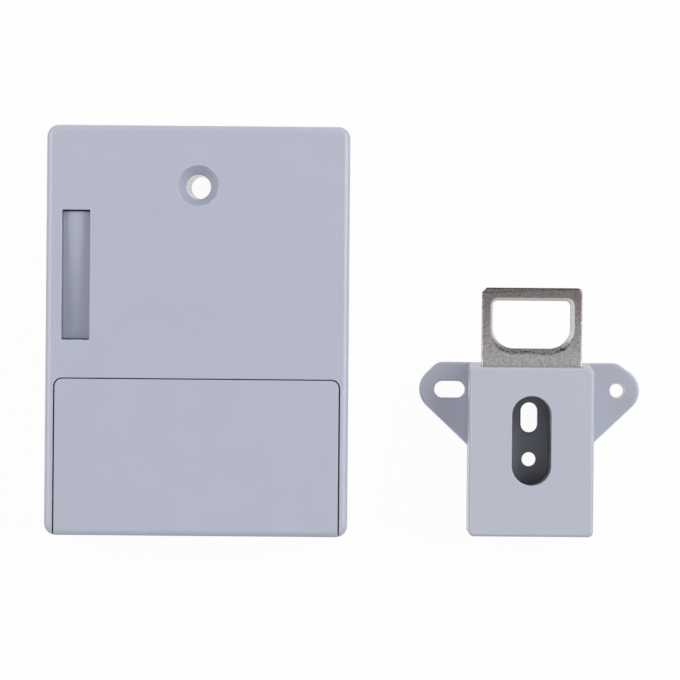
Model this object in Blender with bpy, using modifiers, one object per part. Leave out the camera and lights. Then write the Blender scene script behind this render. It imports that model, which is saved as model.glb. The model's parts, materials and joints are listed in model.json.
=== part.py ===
# Electronic cabinet lock set: a surface-mounted lock case with a motor-driven bolt, and its separate
# catch with a steel strike plate. Both units lie on their mounting backs at z = 0, faces up (+Z).
# The origin is at the bottom centre of the set. Each unit is modelled round its own centre line and
# placed by an empty.

import math

import bmesh
import bpy
from mathutils import Matrix, Vector

MM = 0.001
FIT = 0.3 * MM  # seating or running gap between neighbouring pieces
CUT = 2.0 * MM  # how far a cutter runs past the face it opens
WELD = 0.001 * MM
ROUND_STEPS = 24
SCREW_STEPS = 12
BOSS_STEPS = 12
CORNER_STEPS = 6
RIM_STEPS = 4
COIL_STEPS = 10  # points in each turn of a spring
SMOOTH_ANGLE = math.radians(30)

# The set: lock case on the left, catch on the right
UNIT_GAP = 20.3 * MM
CATCH_Y = -33.3 * MM

# Lock case
LOCK_WIDTH = 85.0 * MM
LOCK_LENGTH = 115.0 * MM
LOCK_DEPTH = 25.0 * MM
LOCK_CORNER = 3.3 * MM
LOCK_RIM = 1.4 * MM
CASE_WALL = 2.3 * MM
FACE_THICK = 2.2 * MM
REAR_THICK = 2.0 * MM

# Fixing hole through the case
FIXING_BELOW_TOP = 16.8 * MM
FIXING_DIAMETER = 6.9 * MM
COUNTERSINK_DIAMETER = 11.4 * MM
FIXING_TUBE_WALL = 1.9 * MM

# Battery bay and its sliding cover
COVER_STRIP = 2.5 * MM  # width of the case beside the cover, to the middle of the seam
COVER_LENGTH = 44.0 * MM
COVER_SEAM = 0.4 * MM
COVER_CORNER = 2.2 * MM
COVER_THICK = 2.0 * MM
COVER_END_WALL = 1.8 * MM
COVER_SKIRT = 1.5 * MM
RUNNER_DROP = 4.1 * MM  # underside of the runners, below the front face
RUNNER_THICK = 0.9 * MM
RUNNER_REACH = 0.75 * MM
BAY_WALL = 1.5 * MM
SILL_THICK = 1.6 * MM
LEDGE_WIDTH = 1.5 * MM

# Plate slot and its chute
SLOT_INSET = 4.4 * MM
SLOT_WIDTH = 7.9 * MM
SLOT_LENGTH = 36.2 * MM
SLOT_ABOVE_SEAM = 10.6 * MM
CHUTE_WALL = 1.5 * MM

# Ejector
EJECTOR_DEPTH = 4.0 * MM  # crown of its face, below the front face
EJECTOR_THICK = 3.0 * MM
EJECTOR_CROWN = 0.6 * MM
EJECTOR_TAB = 1.1 * MM
EJECTOR_TAB_WIDTH = 2.9 * MM
EJECTOR_TAB_THICK = 1.1 * MM
SPRING_POCKET = 1.5 * MM
SPRING_DIAMETER = 5.2 * MM
SPRING_WIRE = 0.5 * MM
SPRING_TURNS = 5
SPRING_FROM_END = 4.3 * MM
SPRING_SEAT_HEIGHT = 1.5 * MM

# Latch bolt, rack and pinion
BOLT_WIDTH = 14.0 * MM
BOLT_HEIGHT = 4.6 * MM
BOLT_LENGTH = 23.0 * MM
BOLT_TRAVEL = 9.5 * MM
BOLT_CHAMFER = 0.8 * MM
FLAG_LENGTH = 9.0 * MM
FLAG_HEIGHT = 2.0 * MM
FLAG_THICK = 1.0 * MM
PINION_TEETH = 8
PITCH_RADIUS = 4.0 * MM
ADDENDUM = 0.7 * MM
DEDENDUM = 0.95 * MM
TOOTH_ROOT = 1.4 * MM
TOOTH_TIP = 0.55 * MM
PINION_WIDTH = 6.0 * MM
SHAFT_DIAMETER = 3.0 * MM
SHAFT_SEAT = 3.0 * MM

# Bolt guide
GUIDE_LENGTH = 19.4 * MM
GUIDE_WALL = 1.5 * MM
GUIDE_SHELF = 2.4 * MM
FOOT_SIZE = 4.4 * MM
FOOT_THICK = 1.0 * MM
FOOT_BOSS_HEIGHT = 2.0 * MM

# Motor and its strap
MOTOR_WIDTH = 12.0 * MM
MOTOR_HEIGHT = 10.0 * MM
GEARBOX_LENGTH = 7.4 * MM
MOTOR_LENGTH = 11.0 * MM
STRAP_WIDTH = 6.0 * MM
STRAP_FROM_END = 1.0 * MM

# Circuit board and what it carries
BOARD_THICK = 1.0 * MM
BOARD_POST_HEIGHT = 0.5 * MM
BOARD_LENGTH = 55.0 * MM
BOARD_FROM_BOSS = 0.8 * MM
BOARD_PAST_SWITCH = 0.9 * MM
BOARD_FROM_BOLT = 4.0 * MM
BOARD_SCREW_INSET = 2.5 * MM
CHIP_SIZE = 8.0 * MM
CHIP_THICK = 1.4 * MM
BUZZER_DIAMETER = 12.0 * MM
BUZZER_HEIGHT = 5.5 * MM
SENSOR_LENGTH = 5.0 * MM
SENSOR_WIDTH = 7.0 * MM
SENSOR_GAP = 2.0 * MM
COIL_THICK = 1.2 * MM
COIL_WIDTH = 3.0 * MM
COIL_CORNER = 5.0 * MM
COIL_SPACING = 1.5 * MM

# Learn button
SWITCH_SIZE = 6.0 * MM
SWITCH_HEIGHT = 0.8 * MM
BUTTON_DIAMETER = 3.2 * MM
BUTTON_FLANGE = 5.0 * MM
BUTTON_FLANGE_THICK = 0.7 * MM
BUTTON_PROUD = 1.6 * MM
BUTTON_TRAVEL = 0.5 * MM
BUTTON_FROM_TRAY_WALL = 3.3 * MM
BUTTON_FROM_BOARD_END = 9.9 * MM

# Cells, tray and contacts
CELL_DIAMETER = 10.5 * MM
CELL_LENGTH = 44.5 * MM
CELL_NUB_DIAMETER = 3.8 * MM
CELL_NUB_LENGTH = 1.0 * MM
CELL_COUNT = 3
CELL_PITCH = 12.4 * MM
CELL_HEADROOM = 1.5 * MM
CELLS_FROM_LEFT = 10.5 * MM
TRAY_THICK = 1.5 * MM
TRAY_WALL = 1.5 * MM
TRAY_WALL_HEIGHT = 9.5 * MM
RIB_THICK = 1.2 * MM
RIB_HEIGHT = 3.5 * MM
CONTACT_THICK = 0.5 * MM
CONTACT_SIZE = 8.0 * MM
CONTACT_ROOM = 4.5 * MM
CONTACT_SPRING_WIDE = 6.4 * MM
CONTACT_SPRING_NARROW = 3.8 * MM
CONTACT_SPRING_WIRE = 0.6 * MM
CONTACT_SPRING_TURNS = 3
BAY_SCREW_DIAMETER = 4.5 * MM
BAY_TUBE_WALL = 2.2 * MM
BAY_TUBE_FROM_WALL = 6.7 * MM
BAY_TUBE_FROM_END = 12.0 * MM

# Screws: shank, head and length for each kind
CASE_SCREW = {"shank": 2.6 * MM, "head": 5.2 * MM, "length": 9.0 * MM, "head_height": 1.3 * MM}
CASE_BOSS_WALL = 1.7 * MM
CASE_BOSS_INSET = 4.7 * MM
SMALL_SCREW = {"shank": 1.8 * MM, "head": 3.6 * MM, "length": 4.2 * MM, "head_height": 1.3 * MM}
BOARD_SCREW = {"shank": 1.6 * MM, "head": 3.2 * MM, "length": 2.6 * MM, "head_height": 1.2 * MM}
PLATE_SCREW = {"shank": 1.8 * MM, "head": 3.8 * MM, "length": 6.0 * MM, "head_height": 0.9 * MM}
HEAD_EASE = 0.3  # share of a pan head's height that its edge chamfer takes
POST_WALL = 1.0 * MM
CASE_SCREW_SINK = 0.2 * MM

# Catch
CATCH_WIDTH = 35.1 * MM
CATCH_LENGTH = 47.6 * MM
CATCH_DEPTH = 20.0 * MM
CATCH_CORNER = 1.5 * MM
CATCH_RIM = 0.9 * MM
CATCH_WALL = 1.8 * MM
CATCH_FACE = 2.0 * MM
CATCH_LEAN = 1.35 * MM  # how far the plate end of the box leans out towards its base
BASE_THICK = 2.5 * MM
EAR_SPAN = 62.8 * MM
EAR_RADIUS = 6.4 * MM
EAR_FOOT_Y = 1.5 * MM  # where the slanting lower edge meets the box side
EAR_ROW_Y = 17.35 * MM  # height of the ear holes above the catch centre
EAR_HOLE_DIAMETER = 3.9 * MM
EAR_SLOT_LENGTH = 8.5 * MM
EAR_SLOT_WIDTH = 4.75 * MM
WELL_WIDTH = 11.05 * MM
WELL_LENGTH = 25.1 * MM
WELL_Y = 3.2 * MM
WELL_WALL = 1.5 * MM
WELL_SLOT_Y = 9.5 * MM
WELL_HOLE_Y = -2.45 * MM
WELL_HOLE_DIAMETER = 4.0 * MM
PLATE_WIDTH = 28.3 * MM
PLATE_REACH = 22.5 * MM  # how far the strike plate stands out of the front edge of the box
PLATE_THICK = 2.5 * MM
PLATE_BELOW_FACE = 3.5 * MM
PLATE_TAIL = 16.8 * MM  # inner end of the plate, below the catch centre
PLATE_CORNER = 1.1 * MM
PLATE_BAR = 2.75 * MM
STRIKE_HEIGHT = 14.25 * MM
STRIKE_TOP_CORNER = 1.5 * MM
STRIKE_LOW_CORNER = 5.9 * MM
PLATE_SCREW_X = 10.8 * MM
PLATE_SCREW_INSET = 3.0 * MM
CATCH_SCREW_X = 13.0 * MM

# Places worked out from the sizes above, in each unit's own frame
half_width = LOCK_WIDTH / 2
half_length = LOCK_LENGTH / 2
shell_low = REAR_THICK + FIT
fixing_at = (0.0, half_length - FIXING_BELOW_TOP)
tube_radius = FIXING_DIAMETER / 2 + FIXING_TUBE_WALL
case_boss_radius = CASE_SCREW["shank"] / 2 + FIT + CASE_BOSS_WALL

seam_y = COVER_LENGTH - half_length
bay_half = half_width - COVER_STRIP + COVER_SEAM / 2
cover_half = half_width - COVER_STRIP - COVER_SEAM / 2
bay_edge = seam_y + COVER_SEAM / 2
cover_edge = seam_y - COVER_SEAM / 2
bay_wall_top = bay_edge + BAY_WALL
end_wall_inner = COVER_END_WALL - half_length
sill_outer = end_wall_inner + FIT
runner_low = LOCK_DEPTH - RUNNER_DROP

slot_left = SLOT_INSET - half_width
slot_right = slot_left + SLOT_WIDTH
slot_low = seam_y + SLOT_ABOVE_SEAM
slot_high = slot_low + SLOT_LENGTH
slot_x = (slot_left + slot_right) / 2
slot_y = (slot_low + slot_high) / 2
chute_right = slot_right + CHUTE_WALL
ejector_top = LOCK_DEPTH - EJECTOR_DEPTH
ejector_low = ejector_top - EJECTOR_THICK
tab_top = ejector_low + EJECTOR_TAB_THICK
spring_places = [(slot_x, slot_low + SPRING_FROM_END), (slot_x, slot_high - SPRING_FROM_END)]

pinion_x = chute_right + FIT + MOTOR_WIDTH / 2
shaft_z = REAR_THICK + FIT + MOTOR_HEIGHT / 2
bolt_low = shaft_z + PITCH_RADIUS - ADDENDUM
bolt_top = bolt_low + BOLT_HEIGHT
rack_root = shaft_z + PITCH_RADIUS + DEDENDUM
bolt_tip = slot_right + FIT
bolt_tail = bolt_tip + BOLT_LENGTH
bolt_south = slot_y - BOLT_WIDTH / 2
bolt_north = slot_y + BOLT_WIDTH / 2
guide_left = chute_right + FIT
guide_right = guide_left + GUIDE_LENGTH
guide_south = bolt_south - FIT - GUIDE_WALL
guide_north = bolt_north + FIT + GUIDE_WALL
gearbox_y = guide_north + FIT
motor_y = gearbox_y + GEARBOX_LENGTH + FIT
motor_end = motor_y + MOTOR_LENGTH
strap_y = motor_end - STRAP_FROM_END - STRAP_WIDTH
foot_boss_top = REAR_THICK + FOOT_BOSS_HEIGHT
foot_low = foot_boss_top + FIT
foot_top = foot_low + FOOT_THICK
strap_half = MOTOR_WIDTH / 2 + FIT
strap_outer = strap_half + FOOT_THICK
foot_places = [
    (pinion_x, guide_south - FOOT_SIZE / 2),
    (guide_right - FOOT_SIZE / 2, guide_north + FOOT_SIZE / 2),
]
strap_places = [
    (pinion_x - strap_outer - FOOT_SIZE / 2, strap_y + STRAP_WIDTH / 2),
    (pinion_x + strap_outer + FOOT_SIZE / 2, strap_y + STRAP_WIDTH / 2),
]

board_low = REAR_THICK + BOARD_POST_HEIGHT + FIT
board_top = board_low + BOARD_THICK
board_left = bolt_tail + BOARD_FROM_BOLT
board_right = half_width - CASE_BOSS_INSET - case_boss_radius - BOARD_FROM_BOSS
board_north = slot_y + SENSOR_WIDTH / 2 + FIT + BOARD_SCREW["head"] / 2 + BOARD_SCREW_INSET
board_south = board_north - BOARD_LENGTH
flag_low = (rack_root + bolt_top - FLAG_HEIGHT) / 2
flag_high = flag_low + FLAG_HEIGHT

tray_top = LOCK_DEPTH - COVER_THICK - CELL_HEADROOM - CELL_DIAMETER - FIT
tray_low = tray_top - TRAY_THICK
cell_z = tray_top + FIT + CELL_DIAMETER / 2
cell_mid_y = (bay_edge + sill_outer) / 2
cell_rows = [cell_mid_y + CELL_PITCH * ((CELL_COUNT - 1) / 2 - i) for i in range(CELL_COUNT)]
rows_half = (CELL_PITCH * (CELL_COUNT - 1) + CELL_DIAMETER) / 2
cells_left = CELLS_FROM_LEFT - bay_half
contact_reach = FIT + CONTACT_THICK
cells_right = cells_left + 2 * contact_reach + CONTACT_ROOM + CELL_LENGTH + FIT
button_x = cells_right + TRAY_WALL + BUTTON_FROM_TRAY_WALL
button_at = (button_x, board_south + BUTTON_FROM_BOARD_END)
board_tongue = button_x + SWITCH_SIZE / 2 + BOARD_PAST_SWITCH  # right edge of its part in the bay
board_step = bay_edge - FIT
board_places = [
    (board_left + BOARD_SCREW_INSET, board_south + BOARD_SCREW_INSET),
    (board_left + BOARD_SCREW_INSET, board_north - BOARD_SCREW_INSET),
    (board_tongue - BOARD_SCREW_INSET, board_south + BOARD_SCREW_INSET),
    (board_right - BOARD_SCREW_INSET, board_north - BOARD_SCREW_INSET),
]
bay_screws = [
    (BAY_TUBE_FROM_WALL - bay_half, cell_mid_y),
    (bay_half - BAY_TUBE_FROM_WALL, sill_outer + BAY_TUBE_FROM_END),
]
bay_tube_radius = BAY_SCREW_DIAMETER / 2 + BAY_TUBE_WALL

low_boss_y = (bay_wall_top + slot_low - CHUTE_WALL) / 2
case_places = [
    (side * (half_width - CASE_BOSS_INSET), y)
    for side in (-1, 1)
    for y in (low_boss_y, half_length - CASE_BOSS_INSET)
]

catch_half_width = CATCH_WIDTH / 2
catch_half_length = CATCH_LENGTH / 2
base_north = catch_half_length + CATCH_LEAN
box_low = BASE_THICK + FIT
ear_x = EAR_SPAN / 2 - EAR_RADIUS
plate_top = CATCH_DEPTH - PLATE_BELOW_FACE
plate_low = plate_top - PLATE_THICK
plate_tip = catch_half_length + PLATE_REACH
well_outer_width = WELL_WIDTH + 2 * WELL_WALL
well_outer_length = WELL_LENGTH + 2 * WELL_WALL
plate_places = [
    (side * PLATE_SCREW_X, y)
    for side in (-1, 1)
    for y in (PLATE_SCREW_INSET - PLATE_TAIL, catch_half_length - CATCH_WALL - PLATE_SCREW_INSET)
]
catch_boss_radius = CASE_SCREW["shank"] / 2 + FIT + POST_WALL
catch_screw_y = catch_boss_radius + CATCH_WALL - catch_half_length
catch_places = [(side * CATCH_SCREW_X, catch_screw_y) for side in (-1, 1)]

set_length = LOCK_WIDTH + UNIT_GAP + EAR_SPAN
lock_place = ((LOCK_WIDTH - set_length) / 2, 0.0, 0.0)
catch_place = ((set_length - EAR_SPAN) / 2, CATCH_Y, 0.0)

# Extrusion directions: an outline's x and y run along the next two axes in turn
EXTRUDE = {
    "Z": Matrix.Identity(4),
    "X": Matrix(((0, 0, 1, 0), (1, 0, 0, 0), (0, 1, 0, 0), (0, 0, 0, 1))),
    "Y": Matrix(((0, 1, 0, 0), (0, 0, 1, 0), (1, 0, 0, 0), (0, 0, 0, 1))),
}


# Outlines, as lists of points

def arc(centre, radius, start, end, steps=CORNER_STEPS):
    angles = [math.radians(start + (end - start) * i / steps) for i in range(steps + 1)]
    return [(centre[0] + radius * math.cos(a), centre[1] + radius * math.sin(a)) for a in angles]


def circle(centre, radius, steps=ROUND_STEPS):
    return arc(centre, radius, 0, 360, steps)[:-1]


def rounded_rectangle(low, high, low_radius, high_radius):
    points = arc((low[0] + low_radius, low[1] + low_radius), low_radius, 180, 270)
    points += arc((high[0] - low_radius, low[1] + low_radius), low_radius, 270, 360)
    points += arc((high[0] - high_radius, high[1] - high_radius), high_radius, 0, 90)
    points += arc((low[0] + high_radius, high[1] - high_radius), high_radius, 90, 180)
    return points


def obround(centre, width, length):
    # Upright slot with half-round ends; a length below the width gives a level slot
    x, y = centre
    half = ROUND_STEPS // 2
    radius = min(width, length) / 2
    reach = max(width, length) / 2 - radius
    if length > width:
        return arc((x, y + reach), radius, 0, 180, half) + arc((x, y - reach), radius, 180, 360, half)
    return arc((x + reach, y), radius, -90, 90, half) + arc((x - reach, y), radius, 90, 270, half)


# Objects

def empty(name, place):
    obj = bpy.data.objects.new(name, None)
    obj.location = place
    parts.objects.link(obj)
    return obj


def material(name, colour, roughness, metallic=0.0):
    finish = bpy.data.materials.new(name)
    finish.use_nodes = True
    shader = finish.node_tree.nodes["Principled BSDF"]
    shader.inputs["Base Color"].default_value = (*colour, 1.0)
    shader.inputs["Roughness"].default_value = roughness
    shader.inputs["Metallic"].default_value = metallic
    return finish


def add_object(name, data, unit, finish=None):
    # A piece has a finish; a helper without one cuts or joins a piece and stays hidden
    obj = bpy.data.objects.new(name, data)
    obj.parent = unit
    if finish:
        data.materials.append(finish)
        parts.objects.link(obj)
    else:
        obj.hide_render = True
        obj.display_type = "WIRE"
        cutters.objects.link(obj)
    return obj


def add_mesh(name, bm, unit, finish=None):
    mesh = bpy.data.meshes.new(name)
    bm.to_mesh(mesh)
    bm.free()
    mesh.shade_smooth()
    mesh.set_sharp_from_angle(angle=SMOOTH_ANGLE)
    return add_object(name, mesh, unit, finish)


def cube_bmesh(low, high):
    bm = bmesh.new()
    low, high = Vector(low), Vector(high)
    bmesh.ops.create_cube(bm, size=1.0)
    bmesh.ops.scale(bm, vec=high - low, verts=bm.verts)
    bmesh.ops.translate(bm, vec=(low + high) / 2, verts=bm.verts)
    return bm


def block(name, low, high, unit, finish=None):
    return add_mesh(name, cube_bmesh(low, high), unit, finish)


def rounded_block(name, low, high, corner, rim, unit, finish=None, lean=0.0):
    # Box with rounded upright corners and a rounded top rim; its +Y end may lean out to the base
    bm = cube_bmesh(low, high)
    height = high[2] - low[2]
    upright = [e for e in bm.edges if abs(e.verts[0].co.z - e.verts[1].co.z) > height / 2]
    bmesh.ops.bevel(bm, geom=upright, offset=corner, segments=CORNER_STEPS, profile=0.5, affect="EDGES")
    top = [e for e in bm.edges if all(v.co.z > high[2] - WELD for v in e.verts)]
    bmesh.ops.bevel(bm, geom=top, offset=rim, segments=RIM_STEPS, profile=0.5, affect="EDGES")
    for vertex in bm.verts:
        if vertex.co.y > 0:
            vertex.co.y += lean * (high[2] - vertex.co.z) / height
    return add_mesh(name, bm, unit, finish)


def cones(name, places, radius_low, radius_high, low, high, unit, finish=None, steps=BOSS_STEPS):
    # Upright cones or cylinders, one at each place
    bm = bmesh.new()
    for x, y in places:
        bmesh.ops.create_cone(
            bm,
            cap_ends=True,
            segments=steps,
            radius1=radius_low,
            radius2=radius_high,
            depth=high - low,
            matrix=Matrix.Translation((x, y, (low + high) / 2)),
        )
    return add_mesh(name, bm, unit, finish)


def cylinders(name, places, radius, low, high, unit, finish=None, steps=BOSS_STEPS):
    return cones(name, places, radius, radius, low, high, unit, finish, steps)


def mesh_from(obj):
    graph = bpy.context.evaluated_depsgraph_get()
    return bpy.data.meshes.new_from_object(obj.evaluated_get(graph))


def prism(name, loops, low, high, unit, finish=None, axis="Z"):
    # Flat outline, with any holes as further loops, extruded from low to high along an axis
    curve = bpy.data.curves.new(name, "CURVE")
    curve.dimensions = "2D"
    curve.fill_mode = "BOTH"
    curve.extrude = (high - low) / 2
    for loop in loops:
        spline = curve.splines.new("POLY")
        spline.points.add(len(loop) - 1)
        spline.use_cyclic_u = True
        for point, (x, y) in zip(spline.points, loop):
            point.co = (x, y, 0.0, 1.0)
    outline = bpy.data.objects.new(name + "_outline", curve)
    bpy.context.scene.collection.objects.link(outline)
    mesh = mesh_from(outline)
    bpy.data.objects.remove(outline)
    bm = bmesh.new()
    bm.from_mesh(mesh)
    bpy.data.meshes.remove(mesh)
    bmesh.ops.remove_doubles(bm, verts=bm.verts, dist=WELD)
    place = EXTRUDE[axis] @ Matrix.Translation((0, 0, (low + high) / 2))
    bmesh.ops.transform(bm, matrix=place, verts=bm.verts)
    bmesh.ops.recalc_face_normals(bm, faces=bm.faces)
    return add_mesh(name, bm, unit, finish)


def turned(name, profile, unit, finish=None, steps=ROUND_STEPS):
    # Profile of (radius, height) points, from the top of the axis down to its bottom
    mesh = bpy.data.meshes.new(name)
    points = [(radius, 0.0, height) for radius, height in profile]
    mesh.from_pydata(points, [(i, i + 1) for i in range(len(points) - 1)], [])
    obj = add_object(name, mesh, unit, finish)
    screw = obj.modifiers.new("Turn", "SCREW")
    screw.steps = steps
    screw.render_steps = steps
    screw.use_merge_vertices = True
    screw.merge_threshold = WELD
    return obj


def copies(name, pattern, places, unit, finish):
    # One object at each place, all sharing the pattern's mesh
    mesh = mesh_from(pattern)
    mesh.name = name
    mesh.materials.clear()
    mesh.materials.append(finish)
    bpy.data.objects.remove(pattern)
    for number, (x, y) in enumerate(places, 1):
        obj = bpy.data.objects.new(f"{name}_{number}", mesh)
        obj.parent = unit
        obj.location = (x, y, 0.0)
        parts.objects.link(obj)


def wire(name, path, thickness, unit, finish):
    curve = bpy.data.curves.new(name, "CURVE")
    curve.dimensions = "3D"
    curve.bevel_depth = thickness / 2
    curve.bevel_resolution = 2
    curve.use_fill_caps = True
    spline = curve.splines.new("POLY")
    spline.points.add(len(path) - 1)
    for point, place in zip(spline.points, path):
        point.co = (*place, 1.0)
    return add_object(name, curve, unit, finish)


def coil(start, direction, first_radius, last_radius, length, turns):
    # Points of a helix along a direction, widening or narrowing evenly from start to end
    axis = Vector(direction)
    side = axis.orthogonal().normalized()
    other = axis.cross(side)
    count = turns * COIL_STEPS
    points = []
    for i in range(count + 1):
        share = i / count
        angle = math.tau * turns * share
        radius = first_radius + (last_radius - first_radius) * share
        offset = side * (radius * math.cos(angle)) + other * (radius * math.sin(angle))
        points.append(Vector(start) + axis * (length * share) + offset)
    return points


def combine(piece, operation, *others):
    for other in others:
        modifier = piece.modifiers.new(other.name, "BOOLEAN")
        modifier.operation = operation
        modifier.solver = "EXACT"
        modifier.object = other


def cut(piece, *others):
    combine(piece, "DIFFERENCE", *others)


def join(piece, *others):
    combine(piece, "UNION", *others)


def set_origin(obj, point):
    obj.data.transform(Matrix.Translation(-Vector(point)))
    obj.location = point


def pan_screw(size, seat):
    # Screw with a flat-topped head standing on a seat height, shank downwards
    head = size["head"] / 2
    shank = size["shank"] / 2
    low = seat + FIT
    top = low + size["head_height"]
    crown = size["head_height"] * HEAD_EASE
    profile = [(0, top), (head - crown, top), (head, top - crown), (head, low)]
    profile += [(shank, low), (shank, low - size["length"]), (0, low - size["length"])]
    return turned("screw_pattern", profile, None, steps=SCREW_STEPS)


def sunk_screw(size, sink):
    # Countersunk screw, head down at a face at z = 0, shank upwards
    head = size["head"] / 2
    shank = size["shank"] / 2
    tip = sink + size["length"]
    profile = [(0, tip), (shank, tip), (shank, sink + size["head_height"]), (head, sink), (0, sink)]
    return turned("screw_pattern", profile, None, steps=SCREW_STEPS)


def sunk_hole(name, places, size, depth, unit):
    # Cone and clearance hole for countersunk screws, opening at z = 0
    shank = size["shank"] / 2 + FIT
    head = size["head"] / 2 + FIT
    slope = (head - shank) / size["head_height"]
    low, high = -CUT, size["head_height"] + FIT
    cone = cones(name + "_cone", places, head - slope * (low - FIT), shank - slope * FIT, low, high, unit)
    return cone, cylinders(name + "_shank", places, shank, low, depth, unit)


# Lock case

def make_front_shell(unit, finish):
    low = (-half_width, -half_length, shell_low)
    high = (half_width, half_length, LOCK_DEPTH)
    shell = rounded_block("front_shell", low, high, LOCK_CORNER, LOCK_RIM, unit, finish)

    ceiling = LOCK_DEPTH - FACE_THICK
    inner_x = half_width - CASE_WALL
    cavity = block(
        "case_cavity", (-inner_x, bay_wall_top, -CUT), (inner_x, half_length - CASE_WALL, ceiling), unit
    )
    chute = block(
        "chute_block",
        (-half_width, slot_low - CHUTE_WALL, -2 * CUT),
        (chute_right, slot_high + CHUTE_WALL, LOCK_DEPTH),
        unit,
    )
    tube = cylinders(
        "fixing_tube", [fixing_at], tube_radius, -2 * CUT, LOCK_DEPTH, unit, steps=ROUND_STEPS
    )
    bosses = cylinders("case_bosses", case_places, case_boss_radius, -2 * CUT, LOCK_DEPTH, unit)
    cut(cavity, chute, tube, bosses)

    over = LOCK_DEPTH + CUT
    bay_low = (-bay_half, -half_length - LOCK_CORNER)
    bay_corner = COVER_CORNER + COVER_SEAM
    outline = rounded_rectangle(bay_low, (bay_half, bay_edge), WELD, bay_corner)
    bay = prism("bay_opening", [outline], -CUT, over, unit)
    support = tray_low - FIT
    sill = block(
        "bay_sill", (-half_width, sill_outer, -2 * CUT), (half_width, sill_outer + SILL_THICK, support), unit
    )
    ledge_x = bay_half - LEDGE_WIDTH
    ledge_low = sill_outer + SILL_THICK / 2
    left = block("ledge_left", (-half_width, ledge_low, -2 * CUT), (-ledge_x, seam_y + CUT, support), unit)
    right = block("ledge_right", (ledge_x, ledge_low, -2 * CUT), (half_width, seam_y + CUT, support), unit)
    cut(bay, sill, left, right)

    slot = block("plate_slot", (slot_left, slot_low, -CUT), (slot_right, slot_high, over), unit)
    pocket = block(
        "bolt_pocket",
        (bolt_tip - BOLT_TRAVEL - FIT, bolt_south - FIT, bolt_low - FIT),
        (chute_right + CUT, bolt_north + FIT, bolt_top + FIT),
        unit,
    )
    groove_half = EJECTOR_TAB_WIDTH / 2 + FIT
    grooves = block(
        "tab_grooves",
        (slot_x - groove_half, slot_low - CHUTE_WALL - CUT, -CUT),
        (slot_x + groove_half, slot_high + CHUTE_WALL + CUT, tab_top + FIT),
        unit,
    )
    runway_x = bay_half + RUNNER_REACH + FIT
    runway = block(
        "runner_grooves",
        (-runway_x, -half_length - CUT, runner_low - FIT),
        (runway_x, cover_edge - COVER_CORNER, runner_low + RUNNER_THICK + FIT),
        unit,
    )
    board_way = block(
        "board_way",
        (board_left - FIT, bay_edge - BAY_WALL, -CUT),
        (board_right + FIT, bay_wall_top + BAY_WALL, board_top + BOARD_THICK),
        unit,
    )
    hole = cylinders(
        "fixing_hole", [fixing_at], FIXING_DIAMETER / 2, -CUT, over, unit, steps=ROUND_STEPS
    )
    sink_low = LOCK_DEPTH - (COUNTERSINK_DIAMETER - FIXING_DIAMETER) / 2 - FIT
    sink_bottom, sink_top = FIXING_DIAMETER / 2 - FIT, COUNTERSINK_DIAMETER / 2 + CUT
    sink = cones(
        "countersink", [fixing_at], sink_bottom, sink_top, sink_low, over, unit, steps=ROUND_STEPS
    )
    pilot_top = CASE_SCREW_SINK + CASE_SCREW["length"] + FIT
    pilots = cylinders(
        "case_pilots", case_places, CASE_SCREW["shank"] / 2 + FIT, -CUT, pilot_top, unit
    )
    cut(shell, cavity, bay, slot, pocket, grooves, runway, board_way, hole, sink, pilots)


def make_rear_cover(unit, finish):
    outline = rounded_rectangle(
        (-half_width, -half_length), (half_width, half_length), LOCK_CORNER, LOCK_CORNER
    )
    loops = [outline, circle(fixing_at, FIXING_DIAMETER / 2)]
    loops += [circle(place, BAY_SCREW_DIAMETER / 2) for place in bay_screws]
    cover = prism("rear_cover", loops, 0.0, REAR_THICK, unit, finish)
    root = REAR_THICK / 2
    seat_radius = SPRING_DIAMETER / 2 - SPRING_WIRE - FIT
    seats = cylinders(
        "spring_seats", spring_places, seat_radius, root, REAR_THICK + SPRING_SEAT_HEIGHT, unit
    )
    foot_radius = SMALL_SCREW["shank"] / 2 + FIT + POST_WALL
    feet = cylinders("foot_bosses", foot_places + strap_places, foot_radius, root, foot_boss_top, unit)
    post_radius = BOARD_SCREW["shank"] / 2 + FIT + POST_WALL
    posts = cylinders(
        "board_posts", board_places, post_radius, root, REAR_THICK + BOARD_POST_HEIGHT, unit
    )
    join(cover, seats, feet, posts)
    foot_holes = cylinders(
        "foot_holes",
        foot_places + strap_places,
        SMALL_SCREW["shank"] / 2 + FIT,
        foot_top - SMALL_SCREW["length"],
        foot_boss_top + CUT,
        unit,
    )
    post_holes = cylinders(
        "post_holes",
        board_places,
        BOARD_SCREW["shank"] / 2 + FIT,
        board_top - BOARD_SCREW["length"],
        board_low + CUT,
        unit,
    )
    sinks = sunk_hole("case_sink", case_places, CASE_SCREW, REAR_THICK + CUT, unit)
    cut(cover, foot_holes, post_holes, *sinks)


def make_case_screws(unit, finish):
    copies("case_screw", sunk_screw(CASE_SCREW, CASE_SCREW_SINK), case_places, unit, finish)


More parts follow.
